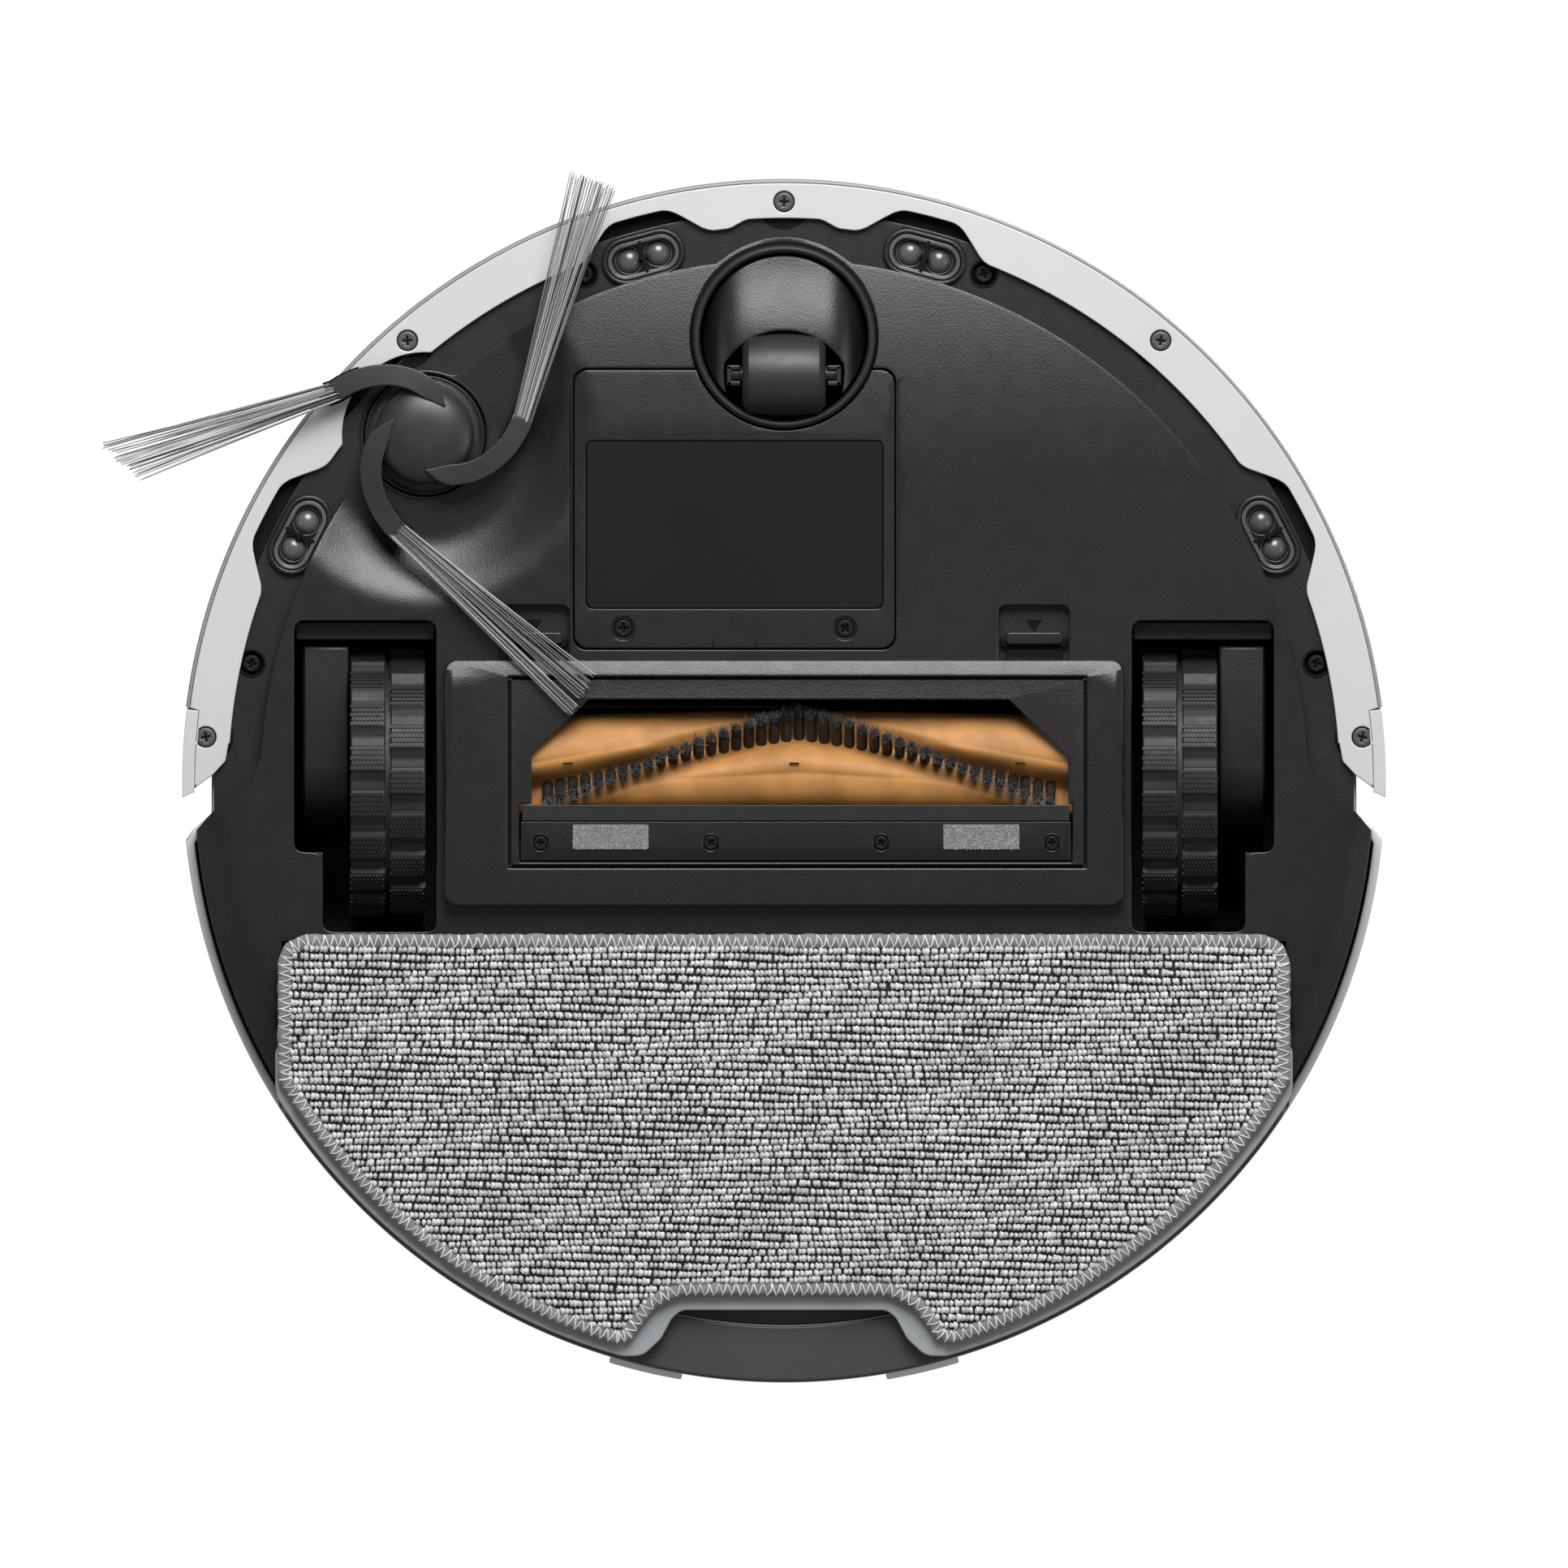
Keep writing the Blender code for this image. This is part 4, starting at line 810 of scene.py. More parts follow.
def flange():
    """The recessed rim between the belly and the bumper, with black discs of painted shade for its pockets,
    and its screws.
    """
    outer = arc(0.1655, -90, 90, 120) + mm((165.5, 10.0), (150.0, 10.0))
    outline = outer + rim_inner() + mm((-150.0, 10.0), (-165.5, 10.0))
    holes = [stadium(0.0240, 0.0134, b, polar(SENSOR_RADIUS, b)) for b in SENSOR_BEARINGS.values()]
    holes += [circle(0.0036, 28, polar(CHASSIS_SCREW_RADIUS, b)) for b in CHASSIS_SCREWS]
    holes.append(circle(0.0180, 48, HUB))
    rim = moulded("chassis_rim", outline, holes, 0.0178, 0.0203, 0.0003, 2)
    done(rim, M["flange"], "chassis", "black_plastic")
    floor = arc(0.1716, -88, 88, 100, (0.0, 0.0036)) + rim_inner()
    back = moulded("rim_floor", floor, [circle(0.0180, 48, HUB)], 0.0204, 0.0207, 0.0)
    done(back, M["black"], "chassis", "black_plastic")
    for i, bearing in enumerate(CHASSIS_SCREWS):
        x, y = polar(CHASSIS_SCREW_RADIUS, bearing)
        profile = mm((3.6, 17.7), (4.3, 17.7), (4.3, 18.3), (3.4, 20.3), (2.9, 20.3), (3.2, 18.5))
        ring = lathe(f"chassis_screw_well_{i + 1}", rounded(profile, 0.0002, 3), (x, y, 0.0), 40)
        done(ring, M["black"], "chassis", "black_plastic")
        screw(f"chassis_screw_{i + 1}", (x, y), 0.0186, 0.0026, M["screw"], "chassis", "steel", 12 + 31 * i)
    for i, bearing in enumerate(BUMPER_SCREWS):
        spot = polar(BUMPER_SCREW_RADIUS, bearing)
        # Black discs just proud of the rim: painted shade for the pockets round the bumper's posts.
        shape = [Vector(p).normalized() * min(Vector(p).length, 0.1648) for p in circle(0.0081, 64, spot)]
        pocket = moulded(f"post_pocket_painted_shade_{i + 1}", distinct(shape), (), 0.0177, 0.0179, 0.0)
        done(pocket, M["black"], "chassis", "black_plastic")


def battery_cover():
    """The cover with its label film, two screws and two black ticks of painted shade for small notches, over
    a dark bay.
    """
    bay = moulded("battery_bay_floor", inset(battery_opening(), -0.0006), [circle(0.0258, 64, CASTER)],
                  0.0150, 0.0153, 0.0)
    done(bay, M["black"], "chassis", "black_plastic")
    recess = rectangle(-0.0575, 0.0288, -0.0990, -0.0502, 0.0020, 5)
    seats = [circle(0.0034, 28, spot) for spot in BATTERY_SCREWS]
    spots = [p for p in grid_spots(-0.0590, 0.0310, -0.1180, -0.1000, 0.0032)
             if hypot(p[0], p[1] - CASTER[1]) > 0.0285]
    cover = moulded("battery_door", battery_cover_outline(), [recess, *seats],
                    BELLY_Z - 0.0001, 0.0148, 0.0004, 3, belly_lift, spots)
    done(cover, M["belly"], "chassis", "black_plastic", "battery_cover")
    film = moulded("battery_label_field", inset(recess, 0.0002), (), BELLY_Z + 0.0003, 0.0128, 0.0002, 2)
    done(film, M["label"], "chassis", "black_plastic")
    for i, spot in enumerate(BATTERY_SCREWS):
        profile = mm((2.6, 11.9), (3.3, 11.2), (3.3, 13.2), (2.6, 13.2))
        seat = lathe(f"battery_screw_seat_{i + 1}", rounded(profile, 0.0002, 3), (*spot, 0.0), 40)
        done(seat, M["dark"], "chassis", "black_plastic")
        screw(f"battery_screw_{i + 1}", spot, 0.0112, 0.0026, M["screw"], "chassis", "steel", 40 * i)
    for i, x in enumerate((-0.0207, -0.0080)):
        # Black ticks just proud of the cover: painted shade for two small notches in its edge.
        tick = rectangle(x - 0.0002, x + 0.0002, -0.0412, -0.0390)
        mark = moulded(f"battery_door_notch_painted_shade_{i + 1}", tick, (), BELLY_Z - 0.00015, BELLY_Z + 0.0004, 0.0)
        done(mark, M["black"], "chassis", "black_plastic")


# ---------------------------------------------------------------- cliff sensors


def cliff_sensor(name, bearing):
    """A ring and a window frame round two domes in bezels, with a cross-shaped wall between them."""
    centre = polar(SENSOR_RADIUS, bearing)
    ring = moulded("sensor_ring_" + name, stadium(0.0246, 0.0140, bearing, centre),
                   [stadium(0.0214, 0.0108, bearing, centre)], 0.0158, 0.0195, 0.0007, 4)
    done(ring, M["flange"], "chassis", "black_plastic")
    inner = moulded("sensor_wall_" + name, stadium(0.0205, 0.0099, bearing, centre),
                    [stadium(0.0188, 0.0082, bearing, centre)], 0.0164, 0.0198, 0.0003, 3)
    done(inner, M["eye"], "chassis", "sensor_lens")
    cell = moulded("sensor_cell_" + name, stadium(0.0214, 0.0108, bearing, centre), (), 0.0200, 0.0203, 0.0)
    done(cell, M["glow"], "chassis", "sensor_lens")
    frame_edge = stadium(0.0199, 0.0093, bearing, centre)
    window = moulded("sensor_window_" + name, stadium(0.0211, 0.0105, bearing, centre), [frame_edge],
                     0.0163, 0.0172, 0.0002, 3)
    done(window, M["eye"], "chassis", "sensor_lens", "cliff_sensor_" + name)
    for i, side in enumerate((-1, 1)):
        along = polar(0.0043 * side, bearing + 90)
        x, y = centre[0] + along[0], centre[1] + along[1]
        profile = [(0.0, 0.0174)] + [
            (0.0038 * sin(radians(a)), 0.0205 - 0.0031 * cos(radians(a))) for a in range(10, 91, 10)
        ] + [(0.0, 0.0205)]
        dome = lathe(f"sensor_dome_{name}_{i + 1}", profile, (x, y, 0.0), 40)
        done(dome, M["eye"], "chassis", "sensor_lens")
        bezel = rounded(mm((3.8, 18.9), (4.1, 18.9), (4.1, 20.2), (3.8, 20.2)), 0.0001, 3)
        done(lathe(f"sensor_eye_{name}_{i + 1}", bezel, (x, y, 0.0), 40), M["eye"], "chassis", "sensor_lens")
    tangent, out = Vector(polar(1.0, bearing + 90)), Vector(polar(1.0, bearing))
    cross_shape = mm((-0.45, -4.9), (0.45, -4.9), (0.45, -0.5), (1.4, -0.5), (1.4, 0.5), (0.45, 0.5),
                     (0.45, 4.9), (-0.45, 4.9), (-0.45, 0.5), (-1.4, 0.5), (-1.4, -0.5), (-0.45, -0.5))
    bar = [tuple(Vector(centre) + tangent * a + out * b) for a, b in cross_shape]
    wall = moulded("sensor_divider_" + name, bar, (), 0.0164, 0.0200, 0.0)
    done(wall, M["black"], "chassis", "sensor_lens")


# ---------------------------------------------------------------- bumper


LIP_EDGE = [
    (0.0, 163.6), (4.2, 163.6), (5.2, 161.3), (7.9, 161.3), (11.5, 169.5), (17.5, 169.5),
    (21.0, 161.3), (55.5, 161.3), (59.2, 169.5), (65.8, 169.5), (69.8, 161.3), (86.2, 161.3),
]


def lip_inner(sign):
    """The lip's inner edge from front to side, with soft notches for the sensors and the side brush."""
    points = []
    for step in range(0, 345):
        bearing = step * 0.25
        total = 0.0
        for shift in (-0.6, 0.0, 0.6):
            total += np.interp(abs(bearing + shift), *zip(*LIP_EDGE)) * MM / 3
        radius = max(total, past_circle(sign * bearing, HUB, 0.0240))
        points.append(polar(radius, sign * bearing))
    return points


def bow(name, profile):
    """Sweeps a profile round the bumper's front, from one end to the other."""
    return lathe(name, profile, (0, 0, 0), 160, start=-BUMPER_END, sweep=2 * BUMPER_END)


def bumper():
    """The lip under the body, the rim and the wall round its front, the end trims and the screws. The rim is
    grey: painted shade on the white bumper's outer chamfer.
    """
    tail = mm((171.1, -1.5), (171.2, 1.9), (165.9, -1.9), (162.2, -5.9), (161.3, -11.0))
    tail = rounded(tail, 0.0020, 4, False)
    outer = arc(0.1738, 0, BUMPER_END, 60) + arc(0.1711, 83.1, 89.0, 6) + tail
    right = outer + lip_inner(1)[::-1]
    left = [(-x, y) for x, y in outer] + lip_inner(-1)[::-1]
    outline = right[:-1] + left[::-1][:-1]
    seats = [circle(0.0031, 32, polar(BUMPER_SCREW_RADIUS, b)) for b in BUMPER_SCREWS]
    lip = moulded("bumper_lip", outline, seats, LIP_Z, 0.0176, 0.0004, 4)
    done(lip, M["white"], "bumper", "white_plastic")
    edge = BUMPER_RADIUS / MM
    profile = mm((173.9, 16.2), (174.7, 16.4), (edge, 17.4), (edge, 18.2), (173.9, 18.2))
    # A grey band of painted shade along the white bumper's outer chamfer.
    rim = bow("bumper_rim_painted_shade", rounded(profile, 0.0003, 3))
    done(rim, M["rim"], "bumper", "white_plastic")
    profile = mm((173.6, 18.3), (edge, 18.3), (edge, 80.6), (174.2, 81.9), (172.7, 81.9), (172.7, 17.7),
                 (173.6, 17.7))
    wall = bow("bumper_wall", rounded(profile, 0.0004, 4))
    done(wall, M["white"], "bumper", "white_plastic", "bumper_shell")
    for side, sign in SIDES:
        shape = arc(0.1747, 83.1, 91.5, 12) + arc(0.1712, 91.0, 83.1, 12)
        trim = moulded("bumper_end_" + side, shape if sign > 0 else flip(shape), (), LIP_Z, 0.0819, 0.0003, 3)
        done(trim, M["white"], "bumper", "white_plastic", "bumper_trim_" + side)
    for i, bearing in enumerate(BUMPER_SCREWS):
        spot = polar(BUMPER_SCREW_RADIUS, bearing)
        name = f"bumper_screw_{i + 1}"
        screw(name, spot, LIP_Z + 0.0001, 0.0028, M["grey_screw"], "bumper", "steel", 6 * i - 10)
        seat = moulded(f"bumper_screw_seat_{i + 1}", circle(0.0033, 24, spot), (), 0.0166, 0.0175, 0.0)
        done(seat, M["black"], "bumper", "white_plastic")


def coil(name, start, length, radius, wire, turns):
    """A round wire wound about a line that runs towards the rear."""
    per_turn, sides = 20, 8
    steps = per_turn * turns
    points = []
    for i in range(steps + 1):
        angle = 2 * pi * i / per_turn
        for k in range(sides):
            swing = 2 * pi * k / sides
            out = radius + wire * cos(swing)
            y = start[1] + length * i / steps + wire * sin(swing)
            points.append((start[0] + out * sin(angle), y, start[2] + out * cos(angle)))
    return piece(name, points, ring_faces(steps + 1, sides))


def bumper_springs():
    """Two coils behind the bumper's wall."""
    front, rear, height = -0.1699, -0.1645, 0.0500
    for name, side in SIDES:
        x = side * 0.0200
        spring = coil("bumper_coil_" + name, (x, front, height), rear - front, 0.0030, 0.0004, 3)
        done(spring, M["steel"], "chassis", "steel", "bumper_spring_" + name)
        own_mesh(spring)


# ---------------------------------------------------------------- caster


def yoke_lift(x, y):
    """The yoke's front is a barrel that leans back, its cheeks fall away to the sides."""
    front = 0.0052 * smooth(-y, 0.1250, 0.1580)
    cheeks = 0.0105 * min(abs(x) / 0.0238, 1.0) ** 6.0
    return front + cheeks


def caster():
    """The socket, the swivelling yoke with its axle clips, and the roller."""
    x, y = CASTER
    socket = mm((4.1, 40.0), (26.6, 40.0), (26.6, 10.4), (25.9, 9.6), (25.1, 9.6), (24.4, 10.4),
                (24.4, 37.5), (4.1, 37.5))
    cup = lathe("caster_cup", rounded(socket, 0.0004, 4), (x, y, 0.0), 128)
    done(cup, M["dark"], "chassis", "black_plastic", "caster_socket")
    radius = 0.0120
    wheel_y = place_of("caster_wheel")[0].y + radius
    horseshoe = arc(0.0237, -134.5, 134.5, 80, CASTER) + mm((17.4, -119.0))
    horseshoe += arc(0.0202, 58, -58, 24, (0.0, -0.1107)) + mm((-17.4, -119.0))
    spots = grid_spots(-0.0225, 0.0225, -0.1515, -0.1130, 0.0014)
    spots = np.array(spots)[inside(np.array(spots), inset(horseshoe, 0.0008))]
    yoke = moulded("caster_yoke", horseshoe, (), 0.0076, 0.0372, 0.0005, 3, yoke_lift, spots)
    stem = lathe("cut", mm((0, 30), (4.0, 30), (4.0, 48), (0, 48)), (x, y, 0.0), 32)
    done(boolean(yoke, [stem], "UNION"), M["belly"], "caster", "black_plastic", "caster_fork")
    deck = moulded("caster_yoke_floor", circle(0.0225, 64, CASTER), (), 0.0300, 0.0365, 0.0)
    done(deck, M["black"], "caster", "black_plastic")
    clips = (
        (12.6, 16.6, -120.9, -119.6),
        (12.6, 16.6, -116.3, -115.0),
        (15.2, 16.6, -120.9, -115.0),
    )
    for name, side in SIDES:
        for i, clip in enumerate(clips):
            inner, outer, front, rear = (value * MM for value in clip)
            x0, x1 = sorted((side * inner, side * outer))
            shape = rectangle(x0, x1, front, rear, 0.0003, 2)
            block = moulded(f"axle_clip_{name}_{i + 1}", shape, (), 0.0088, 0.0200, 0.0003, 2)
            done(block, M["dark"], "caster", "black_plastic")
    along = np.linspace(0, 1, 14)
    tread = [(radius - 0.0009 * t * t - 0.0022 * smooth(t, 0.86, 1.0), 0.0121 * t) for t in along]
    tread = [(r, -h) for r, h in tread[::-1]] + tread[1:] + mm((2.6, 12.1), (2.6, -12.1))
    wheel = lathe("caster_roller", tread, (0.0, wheel_y, radius), 72, "X")
    done(wheel, M["caster_rubber"], "caster_wheel", "tyre_rubber", "caster_wheel")


# ---------------------------------------------------------------- side brush


SIDE_TIPS = ((175.0, 162.0, 8.0), (-57.0, -74.0, -1.0), (59.0, 42.0, 3.0))
SIDE_REACH = 0.0890
ARM_REACH = 0.0290


def arm_path(root):
    """An arm's middle line: from its claw on the dome round the hub and out to the tuft's root."""
    count = 25
    angle = atan2(root.y, root.x)
    points = []
    for i in range(count):
        t = i / (count - 1)
        turn = angle + radians(100.0) * (1 - t)
        reach = 0.0102 + (root.length - 0.0102) * t ** 1.5
        points.append(Vector((reach * cos(turn), reach * sin(turn))))
    return points


def ribbon(path, widths):
    """An outline along a path about the side brush's hub, with its own half width at each point."""
    left, right = [], []
    for i, (point, width) in enumerate(zip(path, widths)):
        slope = (path[min(i + 1, len(path) - 1)] - path[max(i - 1, 0)]).normalized()
        normal = Vector((-slope.y, slope.x)) * width
        left.append((HUB[0] + point.x + normal.x, HUB[1] + point.y + normal.y))
        right.append((HUB[0] + point.x - normal.x, HUB[1] + point.y - normal.y))
    return left + right[::-1]


def side_arm(name, root, line):
    """A claw that hugs the dome and turns into the tuft's line, with a sleeve behind the bristles."""
    path = arm_path(root)
    along = np.linspace(0.0, 1.0, len(path))
    widths = [0.0031 * (0.04 + 0.96 * smooth(t, -0.06, 0.36)) for t in along]
    arm = moulded(name, ribbon(path, widths), (), 0.0056, 0.0104, 0.0004, 3,
                  lambda x, y: 0.0014 * smooth(from_hub(x, y), 0.012, 0.030))
    tail = path[-5:] + [root + line * 0.0012, root + line * 0.0026]
    sleeve = moulded(name + "_sleeve", ribbon(tail, [0.0036] * len(tail)), (), 0.0088, 0.0116, 0.0004, 3)
    done(arm, M["hub"], "side_brush", "dark_plastic")
    done(sleeve, M["black"], "side_brush", "dark_plastic")


def side_tuft(name, root, line, length, slant):
    """A flat bundle of bristles that fans out and slopes down to the floor."""
    count, steps = 58, 7
    across = Vector((-line.y, line.x))
    paths = np.zeros((count, steps, 3))
    radii = np.zeros((count, steps))
    for i in range(count):
        s = random.uniform(-1.0, 1.0)
        layer = random.uniform(-1.0, 1.0)
        reach = length + slant * MM * 0.5 * s - abs(random.normal(0.0, 0.0012))
        curl = random.normal(0.0, 0.0007)
        for k in range(steps):
            t = k / (steps - 1)
            out = -0.0010 + (reach + 0.0010) * t
            width = (0.0027 + 0.0042 * t ** 1.1) * s + curl * t * t
            flat = Vector(HUB) + root + line * out + across * width
            height = 0.0080 - 0.0052 * t + 0.0011 * layer * (1 - 0.25 * t)
            paths[i, k] = (flat.x, flat.y, height)
            radii[i, k] = 0.00013 * (1 - 0.2 * t)
    return strands(name, paths, radii, 4)


def side_brush():
    """The dome with three arms and tufts, and the rings of the pit that it turns in."""
    dome = [(t, 1 - (1 - t ** 2.8) ** 0.6) for t in np.linspace(0.1, 1.0, 22)]
    profile = [(0.0, 0.0050)] + [(0.0143 * out, 0.0050 + 0.0048 * up) for out, up in dome]
    profile += [(0.0143, 0.0135), (0.0031, 0.0135), (0.0031, 0.0300), (0.0, 0.0300)]
    dome = lathe("side_brush_dome", profile, (*HUB, 0.0), 96)
    done(dome, M["hub"], "side_brush", "dark_plastic", "side_brush_hub")
    for i, (tip_angle, line_angle, slant) in enumerate(SIDE_TIPS):
        tip = Vector((cos(radians(tip_angle)), sin(radians(tip_angle)))) * SIDE_REACH
        line = Vector((cos(radians(line_angle)), sin(radians(line_angle))))
        along = tip.dot(line)
        length = along - sqrt(along * along - tip.length_squared + ARM_REACH ** 2)
        root = tip - line * length
        side_arm(f"side_brush_arm_{i + 1}", root, line)
        tuft = side_tuft(f"side_bristles_{i + 1}", root, line, length, slant)
        done(tuft, M["pale_tuft"], "side_brush", "pale_bristle", f"side_brush_tuft_{i + 1}")
    rings = ((16.6, 17.3, 15.4), (18.2, 18.6, 16.4))
    for i, (inner, outer, height) in enumerate(rings):
        profile = mm((inner, height), (outer, height), (outer, height + 4.0), (inner, height + 4.0))
        ring = lathe(f"side_brush_ring_{i + 1}", rounded(profile, 0.0004, 4), (*HUB, 0.0), 96)
        done(ring, M["dark"], "chassis", "dark_plastic")
    pit = lathe("side_brush_pit", mm((3.6, 18.8), (19.0, 18.8), (19.0, 19.2), (3.6, 19.2)), (*HUB, 0.0), 64)
    done(pit, M["black"], "chassis", "dark_plastic")


# ---------------------------------------------------------------- guard and roller


def guard_lift(x, y):
    """The front edge rolls up."""
    return 0.0026 * smooth(-y, 0.0250, 0.0390) ** 1.5


def brush_guard():
    """The frame round the roller's window, in two parts with a dark seam between them."""
    outer = rectangle(-0.0986, 0.0986, -0.0355, 0.0361, 0.0035)
    recess = rectangle(-0.0801, 0.0879, -0.0304, 0.0250, 0.0004, 2)
    spots = [(x, y) for x in np.linspace(-0.096, 0.096, 9) for y in np.arange(-0.0340, -0.0245, 0.0008)]
    rim = moulded("guard_frame", outer, [recess], GUARD_LOW.z, GUARD_HIGH.z, 0.0007, 4, guard_lift, spots)
    done(rim, M["guard"], "guard", "black_plastic", "brush_guard")
    window = mm((-73.3, -7.7), (-56.6, -23.9), (65.3, -23.8), (82.5, -6.8), (82.6, 6.4), (83.7, 6.4),
                (83.7, 23.4), (-76.8, 23.4), (-76.8, 6.4), (-73.3, 6.4))
    window = rounded(window, 0.0006, 3)
    inner = moulded("guard_window", inset(recess, 0.0008), [window], GUARD_LOW.z + 0.0006, 0.0085, 0.0004, 3,
                    lambda x, y: 0.0008 * smooth(-y, 0.0235, 0.0310))
    done(inner, M["guard"], "guard", "black_plastic")
    under = moulded("guard_seam", inset(recess, -0.0012), [inset(window, -0.0009)], 0.0074, 0.0090, 0.0)
    done(under, M["black"], "guard", "black_plastic")


def scraper():
    """The strip behind the roller with its blade, four screws and two squares of hook tape."""
    strip = rectangle(-0.0764, 0.0833, 0.0116, 0.0229, 0.0003, 2)
    seats = [circle(0.0026, 32, spot) for spot in SCRAPER_SCREWS]
    spots = [(x, 0.0190) for x in np.arange(-0.0762, 0.0833, 0.0038)]
    bar = moulded("scraper_bar", strip, seats, 0.0047, 0.0060, 0.0003, 3,
                  lambda x, y: 0.0011 * smooth(y, 0.0186, 0.0240), spots)
    done(bar, M["guard"], "guard", "dark_plastic", "scraper_strip")
    edge = rectangle(-0.0760, 0.0829, 0.0068, 0.0114, 0.0003, 2)
    blade = moulded("scraper_blade", edge, (), 0.0043, 0.0054, 0.0002, 3)
    done(blade, M["dark"], "guard", "dark_plastic")
    for i, spot in enumerate(SCRAPER_SCREWS):
        profile = mm((2.25, 4.9), (2.75, 4.5), (2.75, 5.4), (2.25, 5.8))
        seat = lathe(f"scraper_screw_seat_{i + 1}", rounded(profile, 0.00015, 3), (*spot, 0.0), 36)
        done(seat, M["guard"], "guard", "dark_plastic")
        screw(f"scraper_screw_{i + 1}", spot, 0.0049, 0.0021, M["screw"], "guard", "steel", 8 + 25 * i)
    for i, (x0, x1) in enumerate(((-0.0613, -0.0394), (0.0463, 0.0683))):
        patch(f"hook_patch_{i + 1}", x0, x1, 0.0125, 0.0196, 0.0046)


def patch(name, x0, x1, y0, y1, face):
    """A square of hook tape with its short bent hooks."""
    base = moulded(name, rectangle(x0, x1, y0, y1, 0.0003, 2), (), face, face + 0.0004, 0.0)
    done(base, M["velcro"], "guard", "mop_cloth")
    count, steps = 2600, 4
    roots = np.stack([random.uniform(x0, x1, count), random.uniform(y0, y1, count), np.full(count, face)], -1)
    leans = random.normal(0.0, 0.00022, (count, 2))
    t = np.linspace(0.0, 1.0, steps)[None, :, None]
    paths = np.repeat(roots[:, None], steps, axis=1)
    paths[:, :, :2] += leans[:, None] * t ** 1.5
    paths[:, :, 2:] -= 0.00042 * t * (1.2 - 0.5 * t)
    hooks = strands(name + "_hooks", paths, np.full((count, steps), 0.00005), 3)
    done(hooks, M["hook"], "guard", "mop_cloth")


def row_angle(x):
    """Where the V-shaped bristle row lies round the roller, in radians from straight down."""
    return radians(-60.0 + 1.30 * abs(x - ROLLER.x) / MM)


def crease_angles(x):
    """The creases between the roller's lobes, all the way round, in radians."""
    end = abs(x - ROLLER.x) / 0.0777
    creases = (-120 + 40 * end, -57 + 54 * end, 7.5 + 16.5 * end, 65 + 5 * end, 125, 185, 240 + 40 * end)
    return [radians(crease) for crease in creases]


def on_roller(x, radius, angle):
    """A point on the roller, by its angle from straight down."""
    return (x, ROLLER.y + radius * sin(angle), ROLLER.z - radius * cos(angle))


def roller_radius(x, angle, creases):
    """Soft bulging lobes between the creases, cut down to the core along the bristle row."""
    turned = (angle - creases[0]) % (2 * pi) + creases[0]
    number = max(k for k in range(6) if creases[k] <= turned)
    lobe = (turned - creases[number]) / (creases[number + 1] - creases[number])
    radius = 0.0160 - 0.0011 * (2 * lobe - 1) ** 2
    row = row_angle(x)
    away = (angle - row + pi) % (2 * pi) - pi
    reach = radians(24.0) + 0.65 * abs(row) * (away * row < 0)
    return 0.0094 + (radius - 0.0094) * smooth(abs(away), radians(4.0), reach)


def roller():
    """A rubber core with soft V-shaped lobes, and three small black ticks on it."""
    half, across, around = 0.0840, 180, 240
    points = []
    for i in range(across + 1):
        x = ROLLER.x - half + 2 * half * i / across
        creases = crease_angles(x)
        for k in range(around):
            angle = 2 * pi * k / around
            points.append(on_roller(x, roller_radius(x, angle, creases), angle))
    core = piece("roller_rubber", points, ring_faces(across + 1, around), 70)
    done(core, M["orange"], "roller", "orange_rubber", "roller_core")
    pin = lathe("roller_pin", mm((0, -87), (3.0, -87), (3.0, 87), (0, 87)), tuple(ROLLER), 32, "X")
    done(pin, M["dark"], "roller", "dark_plastic")
    for i, x in enumerate((-0.0627, 0.0030, 0.0686)):
        spot = rectangle(x - 0.0014, x + 0.0014, -0.0055, -0.0051)
        tick = moulded(f"roller_mark_{i + 1}", spot, (), 0.0071, 0.0100, 0.0)
        done(tick, M["black"], "roller", "orange_rubber")


def tuft_place(i):
    """How far across a tuft of the roller's row stands."""
    return ROLLER.x + (i - (TUFTS - 1) / 2) * TUFT_PITCH


def hairs(name, each, root, tip, width, fray, thickness):
    """Hairs in every tuft of the roller's row, straight at the root and frayed at the tip."""
    paths = []
    for i in range(TUFTS):
        x = tuft_place(i)
        angle = row_angle(x)
        out = Vector((0.0, sin(angle), -cos(angle)))
        side = Vector((0.0, cos(angle), sin(angle)))
        for _ in range(each):
            turn, spread = random.uniform(0, 2 * pi), sqrt(random.uniform(0, 1))
            flare = random.normal(0.0, fray, 2)
            end = tip + random.normal(0.0, 0.00035)
            hair = []
            for t in np.linspace(0.0, 1.0, 5):
                dx = width * spread * cos(turn) + flare[0] * t ** 2
                dy = width * spread * sin(turn) + flare[1] * t ** 2
                reach = root + (end - root) * t
                hair.append(Vector((x + dx, ROLLER.y, ROLLER.z)) + out * reach + side * dy)
            paths.append(hair)
    radii = np.tile(np.linspace(thickness, 0.6 * thickness, 5), (len(paths), 1))
    return strands(name, paths, radii, 3)


def roller_bristles():
    """The V-shaped row of tufts: a thick root, a bundle of hairs and a fuzzy tip."""
    places = [tuft_place(i) for i in range(TUFTS)]
    roots = [[on_roller(x, reach, row_angle(x)) for reach in np.linspace(0.0058, 0.0160, 6)] for x in places]
    thick = np.tile([0.00110, 0.00145, 0.00150, 0.00150, 0.00145, 0.00120], (TUFTS, 1))
    stubs = strands("roller_bristle_roots", roots, thick, 10)
    done(stubs, M["matte"], "roller", "bristle")
    row = hairs("roller_bristles", 84, 0.0068, 0.0186, 0.00148, 0.00018, 0.00017)
    done(row, M["tuft"], "roller", "bristle", "bristle_row")
    tips = hairs("roller_bristle_tips", 90, 0.0168, 0.0196, 0.00125, 0.00085, 0.00010)
    done(tips, M["tip_hair"], "roller", "bristle")


